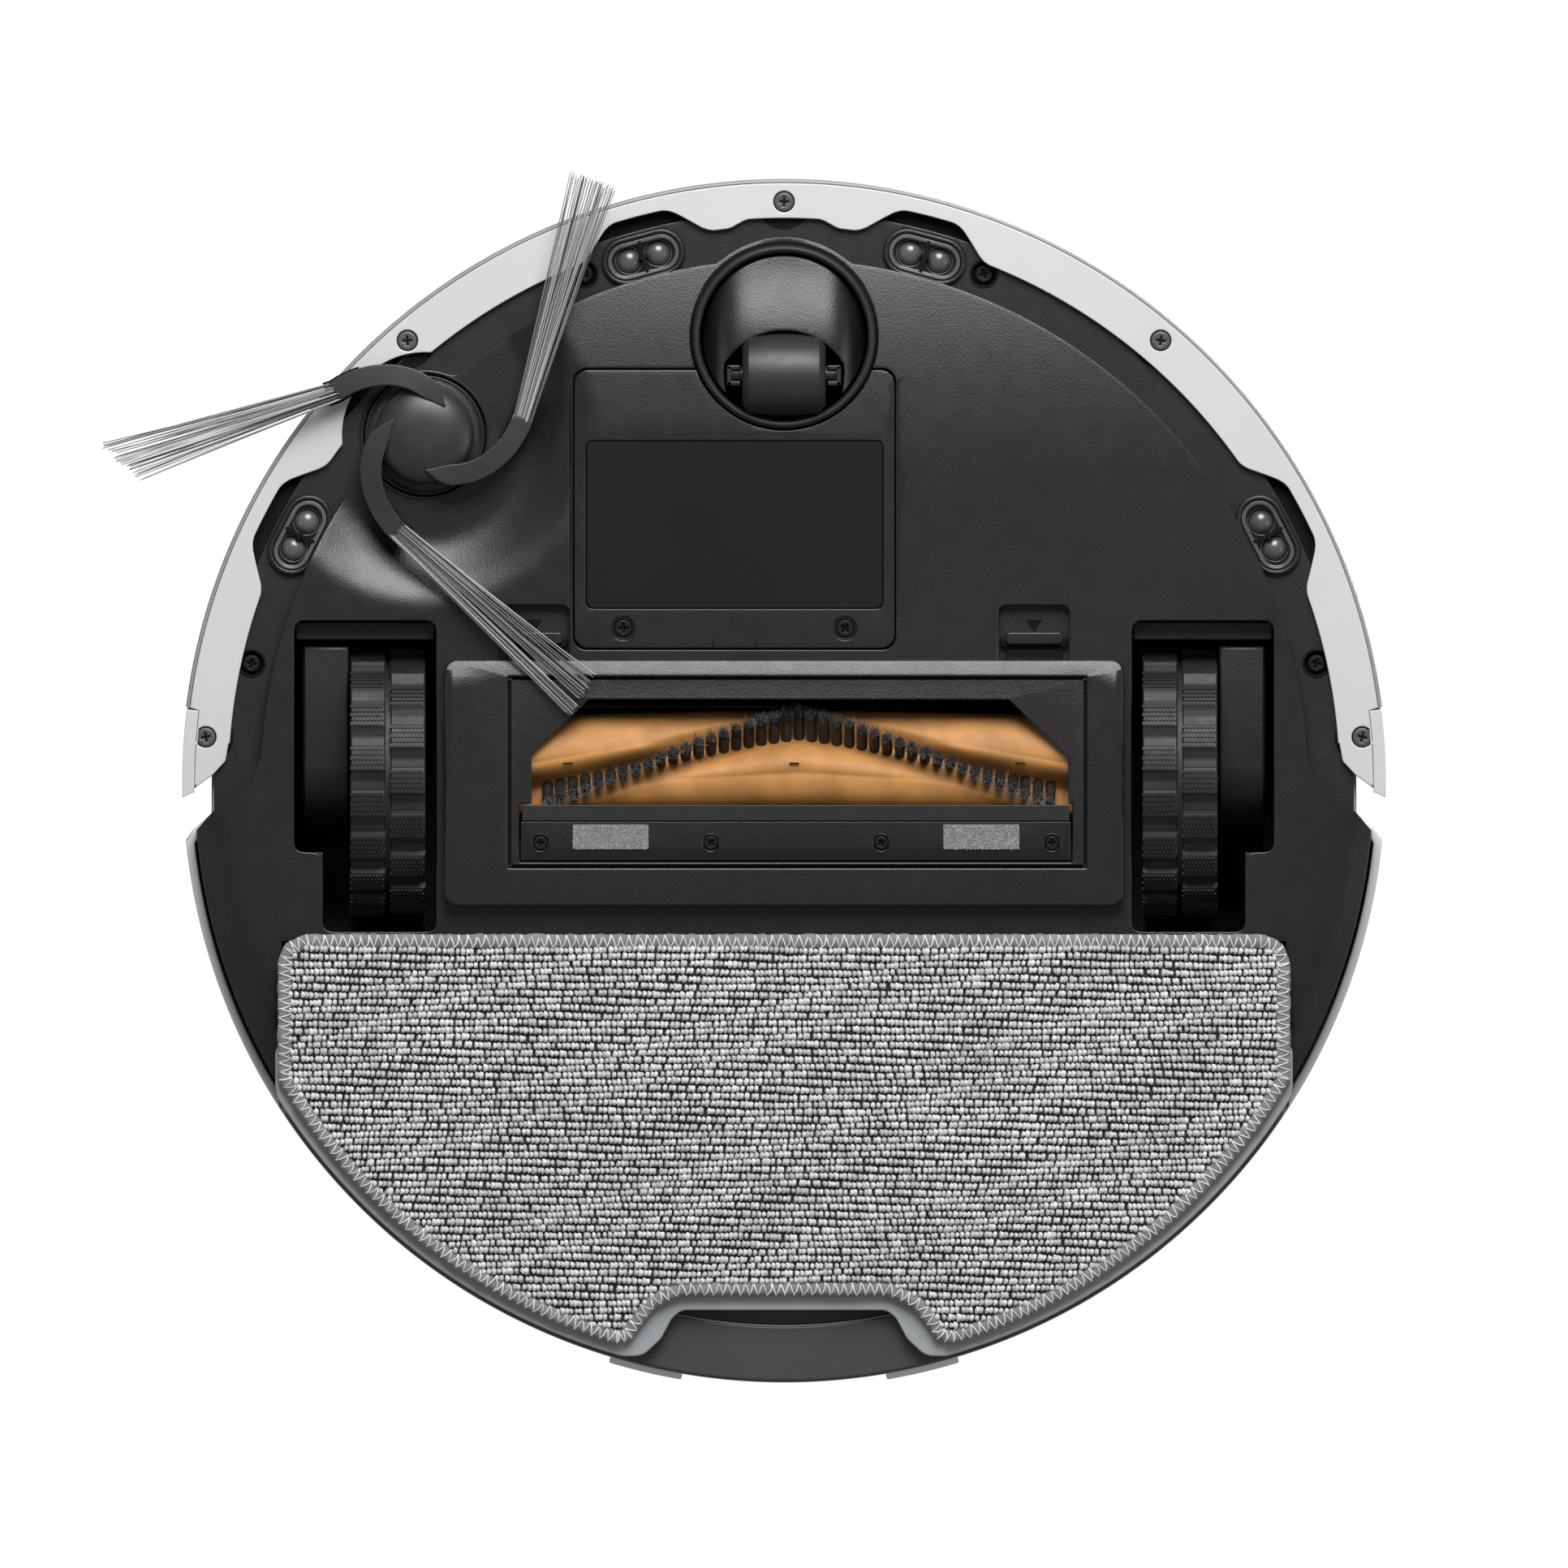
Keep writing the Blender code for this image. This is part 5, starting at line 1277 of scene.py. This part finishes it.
def latch(side_name, side):
    """The tab and its grip bar in a finger pocket, and the link that joins them to the guard."""
    x = side * LATCH_X
    low, high = place_of("guard_latch_" + side_name)
    body_shape = rounded([(low.x, -0.0420), (high.x, -0.0420), (high.x, high.y), (low.x, high.y)], 0.0010, 4)
    tab = moulded("latch_tab_" + side_name, body_shape, (), 0.0126, 0.0168, 0.0006, 4)
    done(tab, M["black"], "latch_" + side_name, "black_plastic", "guard_latch_" + side_name)
    arm = rectangle(x - 0.0082, x + 0.0082, -0.0382, -0.0346, 0.0003, 2)
    link = moulded("latch_link_" + side_name, arm, (), 0.0132, 0.0146, 0.0003, 2)
    done(link, M["black"], "guard", "black_plastic")
    foot = rectangle(x - 0.0082, x + 0.0082, -0.0361, -0.0346, 0.0003, 2)
    foot = moulded("latch_foot_" + side_name, foot, (), 0.0098, 0.0136, 0.0003, 2)
    done(foot, M["black"], "guard", "black_plastic")
    grip = rectangle(x - 0.0082, x + 0.0082, -0.0434, -0.0398, 0.0012, 5)
    bar = moulded("latch_grip_" + side_name, grip, (), 0.0112, 0.0150, 0.0005, 4)
    done(bar, M["guard"], "latch_" + side_name, "black_plastic")
    floor = moulded("latch_pocket_" + side_name, latch_outline(side), (), 0.0150, 0.0172, 0.0)
    mark = [(x - 0.0025, -0.0470), (x + 0.0025, -0.0470), (x, -0.0434)]
    done(floor, M["flange"], "chassis", "black_plastic")
    arrow = moulded("latch_mark_" + side_name, rounded(mark, 0.0002, 3), (), 0.0149, 0.0151, 0.0)
    done(arrow, M["black"], "chassis", "black_plastic")


# ---------------------------------------------------------------- drive wheels


CLEATS = 18


def on_wheel(x, radius, turns):
    """A point on a drive wheel, by a fraction of a turn from its lowest point."""
    angle = 2 * pi * turns
    return (x, radius * sin(angle), WHEEL_RADIUS - radius * cos(angle))


def cleat_ring(middle, width, shift):
    """One row of cleats round the tyre, each with a steep front and a long sloping back."""
    steps = 24 * CLEATS
    section = [(-0.5, None), (-0.5, -0.0004), (-0.46, 0.0), (0.46, 0.0), (0.5, -0.0004), (0.5, None)]
    points = []
    for i in range(steps):
        t = (i / 24 + shift) % 1.0
        rise = smooth(t, 0.17, 0.22) * (1 - 0.45 * smooth(t, 0.78, 0.80) - 0.55 * smooth(t, 0.80, 1.0))
        outer = 0.0366 + (WHEEL_RADIUS - 0.00045 - 0.0366) * rise
        for across, drop in section:
            radius = 0.0308 if drop is None else outer + drop
            points.append(on_wheel(middle + across * width, radius, i / steps))
    return points, ring_faces(steps, len(section), closed=True)


def bricks(middle, width, shift):
    """Small raised bricks on every cleat, in five staggered lines."""
    points, faces = [], []
    for cleat in range(CLEATS):
        for line in range(5):
            for column in range(9):
                u = (cleat + 0.28 + 0.108 * line - shift) / CLEATS
                v = (column + 0.25 + 0.5 * (line % 2)) / 9.5 - 0.5
                first = len(points)
                for drop, grow in ((0.00050, 1.0), (0.0, 0.80)):
                    for du, dv in ((-1, -1), (1, -1), (1, 1), (-1, 1)):
                        x = middle + (v + dv * 0.042 * grow) * width
                        points.append(on_wheel(x, WHEEL_RADIUS - drop, u + du * 0.0020 * grow))
                faces.append((first, first + 1, first + 2, first + 3))
                faces.append((first + 7, first + 6, first + 5, first + 4))
                for k in range(4):
                    n = (k + 1) % 4
                    faces.append((first + k, first + 4 + k, first + 4 + n, first + n))
    return points, faces


def joined(name, parts, sharp):
    """One piece from several lists of points and faces."""
    points, faces = [], []
    for more, their_faces in parts:
        start = len(points)
        points += more
        faces += [tuple(start + k for k in face) for face in their_faces]
    return piece(name, points, faces, sharp)


def drive_wheel(name, side):
    """A tyre with two rows of cleats, half a pitch apart, each cleat covered in small bricks."""
    groove = 0.0014
    width = (0.0217 - groove) / 2
    centre = (side * abs(WHEEL.x), 0.0, WHEEL_RADIUS)
    section = mm((36.2, -1.95), (36.2, 1.95), (31.2, 1.95), (31.2, -1.95))
    core = lathe("tyre_core_" + name, section, centre, 120, "X")
    done(core, M["tyre"], "wheel_" + name, "tyre_rubber")
    rows = [(centre[0] + row * (width + groove) / 2, width, shift) for row, shift in ((-1, 0.0), (1, 0.5))]
    tread = joined("tyre_cleats_" + name, [cleat_ring(*row) for row in rows], 30)
    done(tread, M["tyre"], "wheel_" + name, "tyre_rubber", "tyre_" + name)
    knurl = joined("tyre_knurl_" + name, [bricks(*row) for row in rows], 30)
    done(knurl, M["tyre"], "wheel_" + name, "tyre_rubber")


def drive_arm(name, side):
    """The gearbox case: a flat panel that rolls away behind the axle."""
    bend_y, face_z = -0.0042, 0.0207
    profile = [(-0.0400, 0.0300), (-0.0400, 0.0225), (-0.0390, 0.0213), (-0.0300, face_z), (bend_y, face_z)]
    for a in np.linspace(0.1, pi / 2, 14):
        profile.append((bend_y + 0.0206 * sin(a), face_z + 0.0271 * (1 - cos(a))))
    profile += [(0.0164, 0.0560), (-0.0400, 0.0600)]
    points = [(side * ARM_X + x, y, z) for x in (-0.0067, 0.0067) for y, z in profile]
    case = soften(piece("gearbox_" + name, points, ring_faces(2, len(profile))), 0.0008, 3)
    done(case, M["flange"], "drive_arm_" + name, "black_plastic", "drive_arm_" + name)
    stub = mm((0, -11.2), (3.0, -11.2), (3.0, 11.2), (0, 11.2))
    axle = lathe("axle_" + name, stub, (side * 0.1160, 0.0, WHEEL_RADIUS), 32, "X")
    # Dark plastic in place of the axle's steel: painted shade, so the axle between the tyre and the arm
    # doesn't glint.
    done(axle, M["dark"], "drive_arm_" + name, "steel")
    shape = rectangle(side * 0.1216 - 0.0203, side * 0.1216 + 0.0203, -0.0464, -0.0412, 0.0008)
    fender = moulded("fender_" + name, shape, (), 0.0180, 0.0192, 0.0004, 3)
    done(fender, M["flange"], "chassis", "black_plastic")


# ---------------------------------------------------------------- tank, plate and pad


def tank():
    """The tank with its hollow grip and the lit edge of it, and the release button in its own bay."""
    side = wing_bearing(0.0970, TANK_RADIUS)
    half = mm((144.9, 47.1)) + arc(TANK_RADIUS, side, 180, 70)
    line = [(x, 0.1579 - 3.4 * x * x) for x in np.linspace(-0.0314, 0.0314, 24)]
    hollow = mm((-31.0, 149.0), (31.0, 149.0)) + line[::-1]
    shell = moulded("tank_shell", mirrored(half), [hollow], 0.0088, 0.0361, 0.0010, 4)
    bay = moulded("cut", rectangle(-0.0227, 0.0227, 0.1630, 0.1800), (), 0.0098, 0.0400, 0.0)
    shell = boolean(shell, [bay])
    done(shell, M["tank"], "tank", "grey_plastic", "water_tank")
    # A thin light grey line along the grip's edge on the dark tank: a painted highlight.
    painted_edge_highlight = line + [(x, y + 0.00035) for x, y in line[::-1]]
    painted_edge_highlight = moulded("tank_grip_painted_highlight", painted_edge_highlight, (), 0.0086, 0.0092, 0.0001, 2)
    done(painted_edge_highlight, M["rim"], "tank", "grey_plastic")
    floor = moulded("tank_grip_floor", inset(hollow, -0.0010), (), 0.0125, 0.0135, 0.0)
    done(floor, M["tank"], "tank", "grey_plastic")
    rear = mirrored(mm((22.4, 165.6)) + arc(TANK_RADIUS, 180 - degrees(asin(0.0224 / TANK_RADIUS)), 180, 14))
    key = moulded("tank_key", rear, (), 0.0101, 0.0359, 0.0007, 4)
    done(key, M["tank"], "tank_button", "grey_plastic", "tank_button")


def plate_outline():
    """The mop plate's edge, with the notch for the tank's grip at the rear."""
    half = mm((138.0, 46.0), (144.0, 48.5), (146.2, 54.5), (146.2, 76.0), (147.7, 78.0), (147.7, 88.4))
    half += arc(0.1734, 122.0, 163.0, 48)
    return mirrored(half + mm((47.0, 166.9), (41.0, 166.8), (35.6, 161.7), (32.5, 155.7), (29.7, 153.5)))


def pad_outline():
    """The mop pad's edge, a little inside the plate's except at the front."""
    half = mm((139.0, 44.3), (144.7, 46.6), (147.0, 52.3), (147.0, 86.5))
    half += arc(0.1706, 120.8, 163.4, 48)
    return mirrored(half + mm((44.5, 162.6), (41.6, 158.1), (37.3, 152.7), (30.2, 149.4)))


def resampled(points, step):
    """Evenly spaced points round a closed outline."""
    line = np.array(points + points[:1])
    lengths = np.concatenate([[0.0], np.cumsum(np.linalg.norm(np.diff(line, axis=0), axis=1))])
    count = int(lengths[-1] / step)
    where = np.linspace(0.0, lengths[-1], count, endpoint=False)
    xs, ys = (np.interp(where, lengths, line[:, axis]) for axis in (0, 1))
    return [(float(x), float(y)) for x, y in zip(xs, ys)]


def mop_plate():
    """The plate that the pad is held on."""
    board = moulded("pad_plate", rounded(plate_outline(), 0.0060, 6), (), 0.0043, 0.0083, 0.0005, 4)
    done(board, M["plate"], "mop", "grey_plastic", "mop_plate")


def hem_point(line, i, across, height):
    """A point over the hem: across runs from 0 at the edge to 1 at its inner side."""
    count = len(line)
    here, before, after = line[i % count], line[i - 1], line[(i + 1) % count]
    along = Vector((after[0] - before[0], after[1] - before[1])).normalized()
    inwards = Vector((-along.y, along.x))
    return (here[0] + inwards.x * across * HEM_WIDTH, here[1] + inwards.y * across * HEM_WIDTH, height)


def mop_pad():
    """The backing cloth, the turned hem, its stitches and the pile."""
    outline = rounded(pad_outline(), 0.0035, 5)
    # The backing cloth is near black: painted shade seen between the rows of loops.
    cloth = moulded("mop_cloth_base", inset(outline, 0.0006), (), 0.0020, 0.0040, 0.0004, 2)
    done(cloth, M["backing"], "mop", "mop_cloth", "mop_pad")
    line = resampled(outline, 0.0013)
    wobble = random.normal(0.0, 0.00012, len(line))
    section = [(0.0, 0.0036), (0.0, 0.0024), (0.08, 0.0014), (0.25, 0.0008), (0.5, 0.0007), (0.75, 0.0009),
               (0.95, 0.0015), (1.0, 0.0024), (1.0, 0.0036)]
    points = []
    for i, shift in enumerate(wobble):
        for across, height in section:
            points.append(hem_point(line, i, across + shift / HEM_WIDTH, height + shift * 0.6))
    hem = piece("mop_hem", points, ring_faces(len(line), len(section), closed=True), 60)
    done(hem, M["hem"], "mop", "mop_cloth")
    thread = stitches(resampled(outline, 0.00065))
    piles = pile(outline)


def stitches(line):
    """Zig-zag stitches over the hem, two slanted runs to each repeat."""
    ends = []
    count = len(line) // 4 * 4
    for i in range(0, count, 4):
        ends.append((hem_point(line, i, 0.05, 0.0), hem_point(line, i + 2, 0.96, 0.0)))
        ends.append((hem_point(line, i + 2, 0.96, 0.0), hem_point(line, i + 4, 0.05, 0.0)))
    steps = 6
    paths = np.zeros((len(ends), steps, 3))
    for j, (first, second) in enumerate(ends):
        shift = random.normal(0.0, 0.00022, 2)
        for k in range(steps):
            t = k / (steps - 1)
            across = t if j % 2 == 0 else 1 - t
            run = np.array(first[:2]) * (1 - t) + np.array(second[:2]) * t
            paths[j, k, :2] = run + shift * (1 - abs(2 * across - 1)) + sin(pi * t) * 0.0003
            paths[j, k, 2] = 0.00055 + 0.0011 * (2 * across - 1) ** 4
    thread = strands("mop_stitches", paths, np.full((len(ends), steps), 0.00019), 4)
    return done(thread, M["thread"], "mop", "mop_cloth")


def pile(outline):
    """Rows of yarn loops, each a small bent arch with its own lean and size."""
    row_pitch, loop_pitch = 0.00213, 0.00142
    edge = inset(outline, HEM_WIDTH - 0.0007)
    rows = np.arange(PAD_LOW.y + 0.0046, PAD_HIGH.y - 0.0038, row_pitch)
    spots = []
    for row, y in enumerate(rows):
        xs = np.arange(-0.1440, 0.1440, loop_pitch) + random.uniform(0.0, loop_pitch)
        drift = 0.00035 * np.sin(xs * 55 + row * 0.35) + 0.0002 * np.sin(xs * 190 + row * 1.3)
        spots.append(np.stack([xs + random.normal(0, 0.00014, len(xs)), y + drift], -1))
    spots = np.concatenate(spots)
    spots = spots[inside(spots, edge)]
    count, steps = len(spots), 6
    t = np.linspace(-1.0, 1.0, steps)[None, :]
    lean = random.normal(0.0, 0.16, (count, 1)) + 0.20 * np.sin(spots[:, :1] * 70)
    size = random.normal(1.0, 0.09, (count, 1))
    reach = 0.00056 * size
    hook = random.choice([-1.0, 1.0], (count, 1), p=[0.35, 0.65]) * 0.00018 * size
    x = spots[:, :1] + reach * t * np.sin(lean) + hook * (1 - t * t) * 1.2
    y = spots[:, 1:2] + reach * t * np.cos(lean)
    z = 0.00080 + 0.00125 * np.abs(t) ** 2.2 + random.normal(0.0, 0.00013, (count, 1))
    paths = np.stack([x, y, np.maximum(z, 0.00077)], -1)
    radii = 0.00074 * size * (1 - 0.25 * t ** 4)
    pieces = []
    bands = np.array_split(np.argsort(spots[:, 1], kind="stable"), 3)
    for i, chosen in enumerate(bands):
        loops = strands(f"mop_pile_{i + 1}", paths[chosen], radii[chosen], 4, 0.4)
        pieces.append(done(loops, M["terry"], "mop", "mop_cloth"))
    return pieces


# ---------------------------------------------------------------- housing and top


def housing():
    """The white side walls behind the bumper, with the vents and the bay for the tank."""
    rear = mm((165.9, -1.0), (165.9, 9.1), (171.7, 14.1))
    rear += arc(HOUSING_RADIUS, wing_bearing(0.0174, HOUSING_RADIUS), 180, 70)
    outline = mirrored(arc(0.1646, 0, 88, 60) + rear)
    walls = moulded("housing_wall", outline, [inset(outline, 0.0025)], 0.0209, 0.0820, 0.0006, 3)
    slots = [arc(0.1760, b, b + 0.9, 2) + arc(0.1700, b + 0.9, b, 2) for b in range(122, 137, 2)]
    slots = [moulded("cut", slot, (), 0.0480, 0.0680, 0.0) for slot in slots]
    bay = moulded("cut", rectangle(-0.1466, 0.1466, 0.0465, 0.1900), (), 0.0100, 0.0364, 0.0)
    walls = boolean(walls, [*slots, bay])
    done(walls, M["white"], "chassis", "white_plastic", "upper_housing")


def top():
    """The top cover with the bin's lid and the two buttons in it."""
    holes = [circle(0.0405, 96, LIDAR[:2]), rectangle(-0.0605, 0.0605, 0.0515, 0.1185, 0.004)]
    holes += [circle(0.0083, 48, (x, BUTTON_Y)) for _, x in BUTTONS]
    edge = arc(HOUSING_RADIUS, 0, 91.5, 90) + mm((166.2, -2.0), (166.2, 9.2), (171.8, 14.2))
    edge += arc(HOUSING_RADIUS, 95.6, 180, 86)
    cover = moulded("top_panel", mirrored(edge), holes, 0.0853, 0.0823, 0.0009, 4)
    done(cover, M["white"], "chassis", "white_plastic", "top_cover")
    grip = rectangle(-0.0200, 0.0200, 0.1040, 0.1120, 0.003)
    lid = rectangle(-0.0600, 0.0600, 0.0520, 0.1180, 0.004)
    lid = moulded("bin_lid", lid, [grip], 0.0853, 0.0823, 0.0006, 4)
    done(lid, M["white"], "bin", "white_plastic", "dust_bin_lid")
    well = moulded("bin_lid_grip", inset(grip, -0.0010), (), 0.0830, 0.0823, 0.0)
    done(well, M["plate"], "bin", "white_plastic")
    for name, x in BUTTONS:
        profile = mm((0.0, 80.5), (7.9, 80.5), (7.9, 85.4), (6.9, 86.2), (5.6, 86.1), (5.2, 85.8),
                     (4.6, 86.1), (0.0, 86.0))
        key = lathe(name + "_cap", rounded(profile, 0.0003, 3, False), (x, BUTTON_Y, 0.0), 64)
        done(key, M["white"], name, "white_plastic", name)


def lidar():
    """The lidar's cap on four posts over its round deck."""
    cap = rounded(mm((0.0, 96.8), (40.0, 96.8), (40.0, 98.2), (36.8, 101.0), (0.0, 101.0)), 0.0012, 5, False)
    cap = lathe("lidar_cap", cap, LIDAR, 128)
    post = mm((0.0, 87.4), (2.2, 87.4), (2.2, 97.4), (0.0, 97.4))
    posts = [lathe("cut", post, (*polar(0.0370, b, LIDAR), 0.0), 24) for b in (45, 135, 225, 315)]
    cap = boolean(cap, posts, "UNION")
    done(cap, M["white"], "chassis", "white_plastic", "lidar_cover")
    base = mm((5.1, 87.5), (40.0, 87.5), (40.0, 85.6), (29.7, 85.6), (29.7, 70.0), (5.1, 70.0))
    base = lathe("lidar_deck", rounded(base, 0.0003, 3), LIDAR, 128)
    done(base, M["dark"], "chassis", "dark_plastic", "lidar_base")


def contacts():
    """The two charging contacts, standing just proud of the rear wall."""
    for name, sign in SIDES:
        shape = arc(0.1762, 163.2, 170.25, 12) + arc(0.1742, 170.25, 163.2, 12)
        shape = rounded(shape, 0.0007, 4)
        bar = moulded("contact_" + name, shape if sign > 0 else flip(shape), (), 0.0440, 0.0580, 0.0003, 4)
        done(bar, M["contact"], "chassis", "contact_metal", "charging_contact_" + name)


# ---------------------------------------------------------------- what stays from the CAD


def finish_cad_nodes():
    """Gives every CAD node that still shows its finish and softer edges."""
    looks = {
        "black_plastic": M["flange"],
        "dark_plastic": M["dark"],
        "grey_plastic": M["plate"],
        "white_plastic": M["white"],
        "tyre_rubber": M["tyre"],
        "steel": M["steel"],
        "circuit_board": M["board"],
        "battery_wrap": M["wrap"],
    }
    slots = {s["node"]: s["material_slot"] for s in frame["record"]["subparts"]}
    for name, obj in frame["nodes"].items():
        if obj.hide_render:
            continue
        # The caster's steel axle gets dark plastic: painted shade in place of the steel's glints.
        look = M["dark"] if name == "caster_axle" else looks.get(slots[name], M["dark"])
        obj.data.materials.clear()
        obj.data.materials.append(look)
        weld = obj.modifiers.new("Weld", "WELD")
        weld.merge_threshold = 0.000005
        soften(obj, 0.0002, 2)
        obj.data.shade_smooth()


# ---------------------------------------------------------------- camera, lights and floor


def area_light(name, place, target, size, power):
    """A round soft light that looks at a target."""
    light = bpy.data.lights.new(name, "AREA")
    light.shape = "DISK"
    light.size = size
    light.energy = power
    obj = bpy.data.objects.new(name, light)
    bpy.context.scene.collection.objects.link(obj)
    obj.location = place
    obj.rotation_mode = "QUATERNION"
    obj.rotation_quaternion = (Vector(target) - Vector(place)).to_track_quat("-Z", "Y")


def studio():
    """The camera straight below the robot, the soft lights and the white surroundings."""
    scene = bpy.context.scene
    scene.view_settings.view_transform = "Standard"
    scene.view_settings.look = "None"
    camera = bpy.data.objects.new("camera", bpy.data.cameras.new("camera"))
    scene.collection.objects.link(camera)
    scene.camera = camera
    camera.data.type = "ORTHO"
    camera.data.ortho_scale = 0.4553
    camera.location = (BODY.x, BODY.y + 0.0007, -1.5)
    camera.rotation_euler = (pi, 0.0, 0.0)
    camera.data.clip_end = 20.0
    area_light("key", (0.10, -1.00, -1.02), (0.02, -0.02, 0.0), 0.95, 27.0)
    area_light("right", (1.2, 0.1, -0.6), (0.0, 0.0, 0.0), 0.7, 2.4)
    area_light("left", (-1.2, 0.1, -0.6), (0.0, 0.0, 0.0), 0.7, 1.2)
    area_light("top", (0.6, -0.6, 1.6), (0.0, 0.0, 0.05), 1.0, 46.0)
    world = bpy.data.worlds.new("studio")
    scene.world = world
    world.use_nodes = True
    tree = world.node_tree
    lit = tree.nodes["Background"]
    lit.inputs["Color"].default_value = (1.0, 1.0, 1.0, 1.0)
    lit.inputs["Strength"].default_value = 0.24
    seen = tree.nodes.new("ShaderNodeBackground")
    seen.inputs["Strength"].default_value = 1.0
    seen.inputs["Color"].default_value = (1.0, 1.0, 1.0, 1.0)
    path = tree.nodes.new("ShaderNodeLightPath")
    mix = tree.nodes.new("ShaderNodeMixShader")
    tree.links.new(path.outputs["Is Camera Ray"], mix.inputs["Fac"])
    tree.links.new(lit.outputs["Background"], mix.inputs[1])
    tree.links.new(seen.outputs["Background"], mix.inputs[2])
    tree.links.new(mix.outputs["Shader"], tree.nodes["World Output"].inputs["Surface"])


def floor():
    """A pale floor that is only there from above, because the robot is seen through it from below."""
    mesh = bpy.data.meshes.new("floor")
    corners = [(x, y, 0.0) for x, y in rectangle(-3.0, 3.0, -3.0, 3.0)]
    mesh.from_pydata(corners, [], [(0, 1, 2, 3)])
    obj = bpy.data.objects.new("floor", mesh)
    bpy.context.scene.collection.objects.link(obj)
    obj.location.z = cad_box[0].z - 0.0005
    n = Nodes("floor_paint")
    n.colour(n.tint(n.noise(3.0), (0.86, 0.86, 0.86), (0.90, 0.90, 0.90)))
    n.plain(Roughness=0.6)
    clear_side = n.node("ShaderNodeBsdfTransparent")
    mix = n.node("ShaderNodeMixShader")
    n.link(n.node("ShaderNodeNewGeometry").outputs["Backfacing"], mix.inputs["Fac"])
    n.link(n.shader.outputs["BSDF"], mix.inputs[1])
    n.link(clear_side.outputs["BSDF"], mix.inputs[2])
    n.link(mix.outputs["Shader"], n.tree.nodes["Material Output"].inputs["Surface"])
    mesh.materials.append(n.material)
    obj.visible_shadow = False
    obj.visible_diffuse = False
    obj.visible_glossy = False
    obj.visible_transmission = False


# ---------------------------------------------------------------- assembly


def build():
    """Makes every piece, in the order that the random draws follow."""
    studio()
    floor()
    belly()
    flange()
    battery_cover()
    for name, bearing in SENSOR_BEARINGS.items():
        cliff_sensor(name, bearing)
    bumper()
    bumper_springs()
    caster()
    side_brush()
    brush_guard()
    scraper()
    roller()
    roller_bristles()
    for name, side in SIDES:
        latch(name, side)
        drive_wheel(name, side)
        drive_arm(name, side)
    tank()
    mop_plate()
    mop_pad()
    housing()
    top()
    lidar()
    contacts()
    finish_cad_nodes()


build()
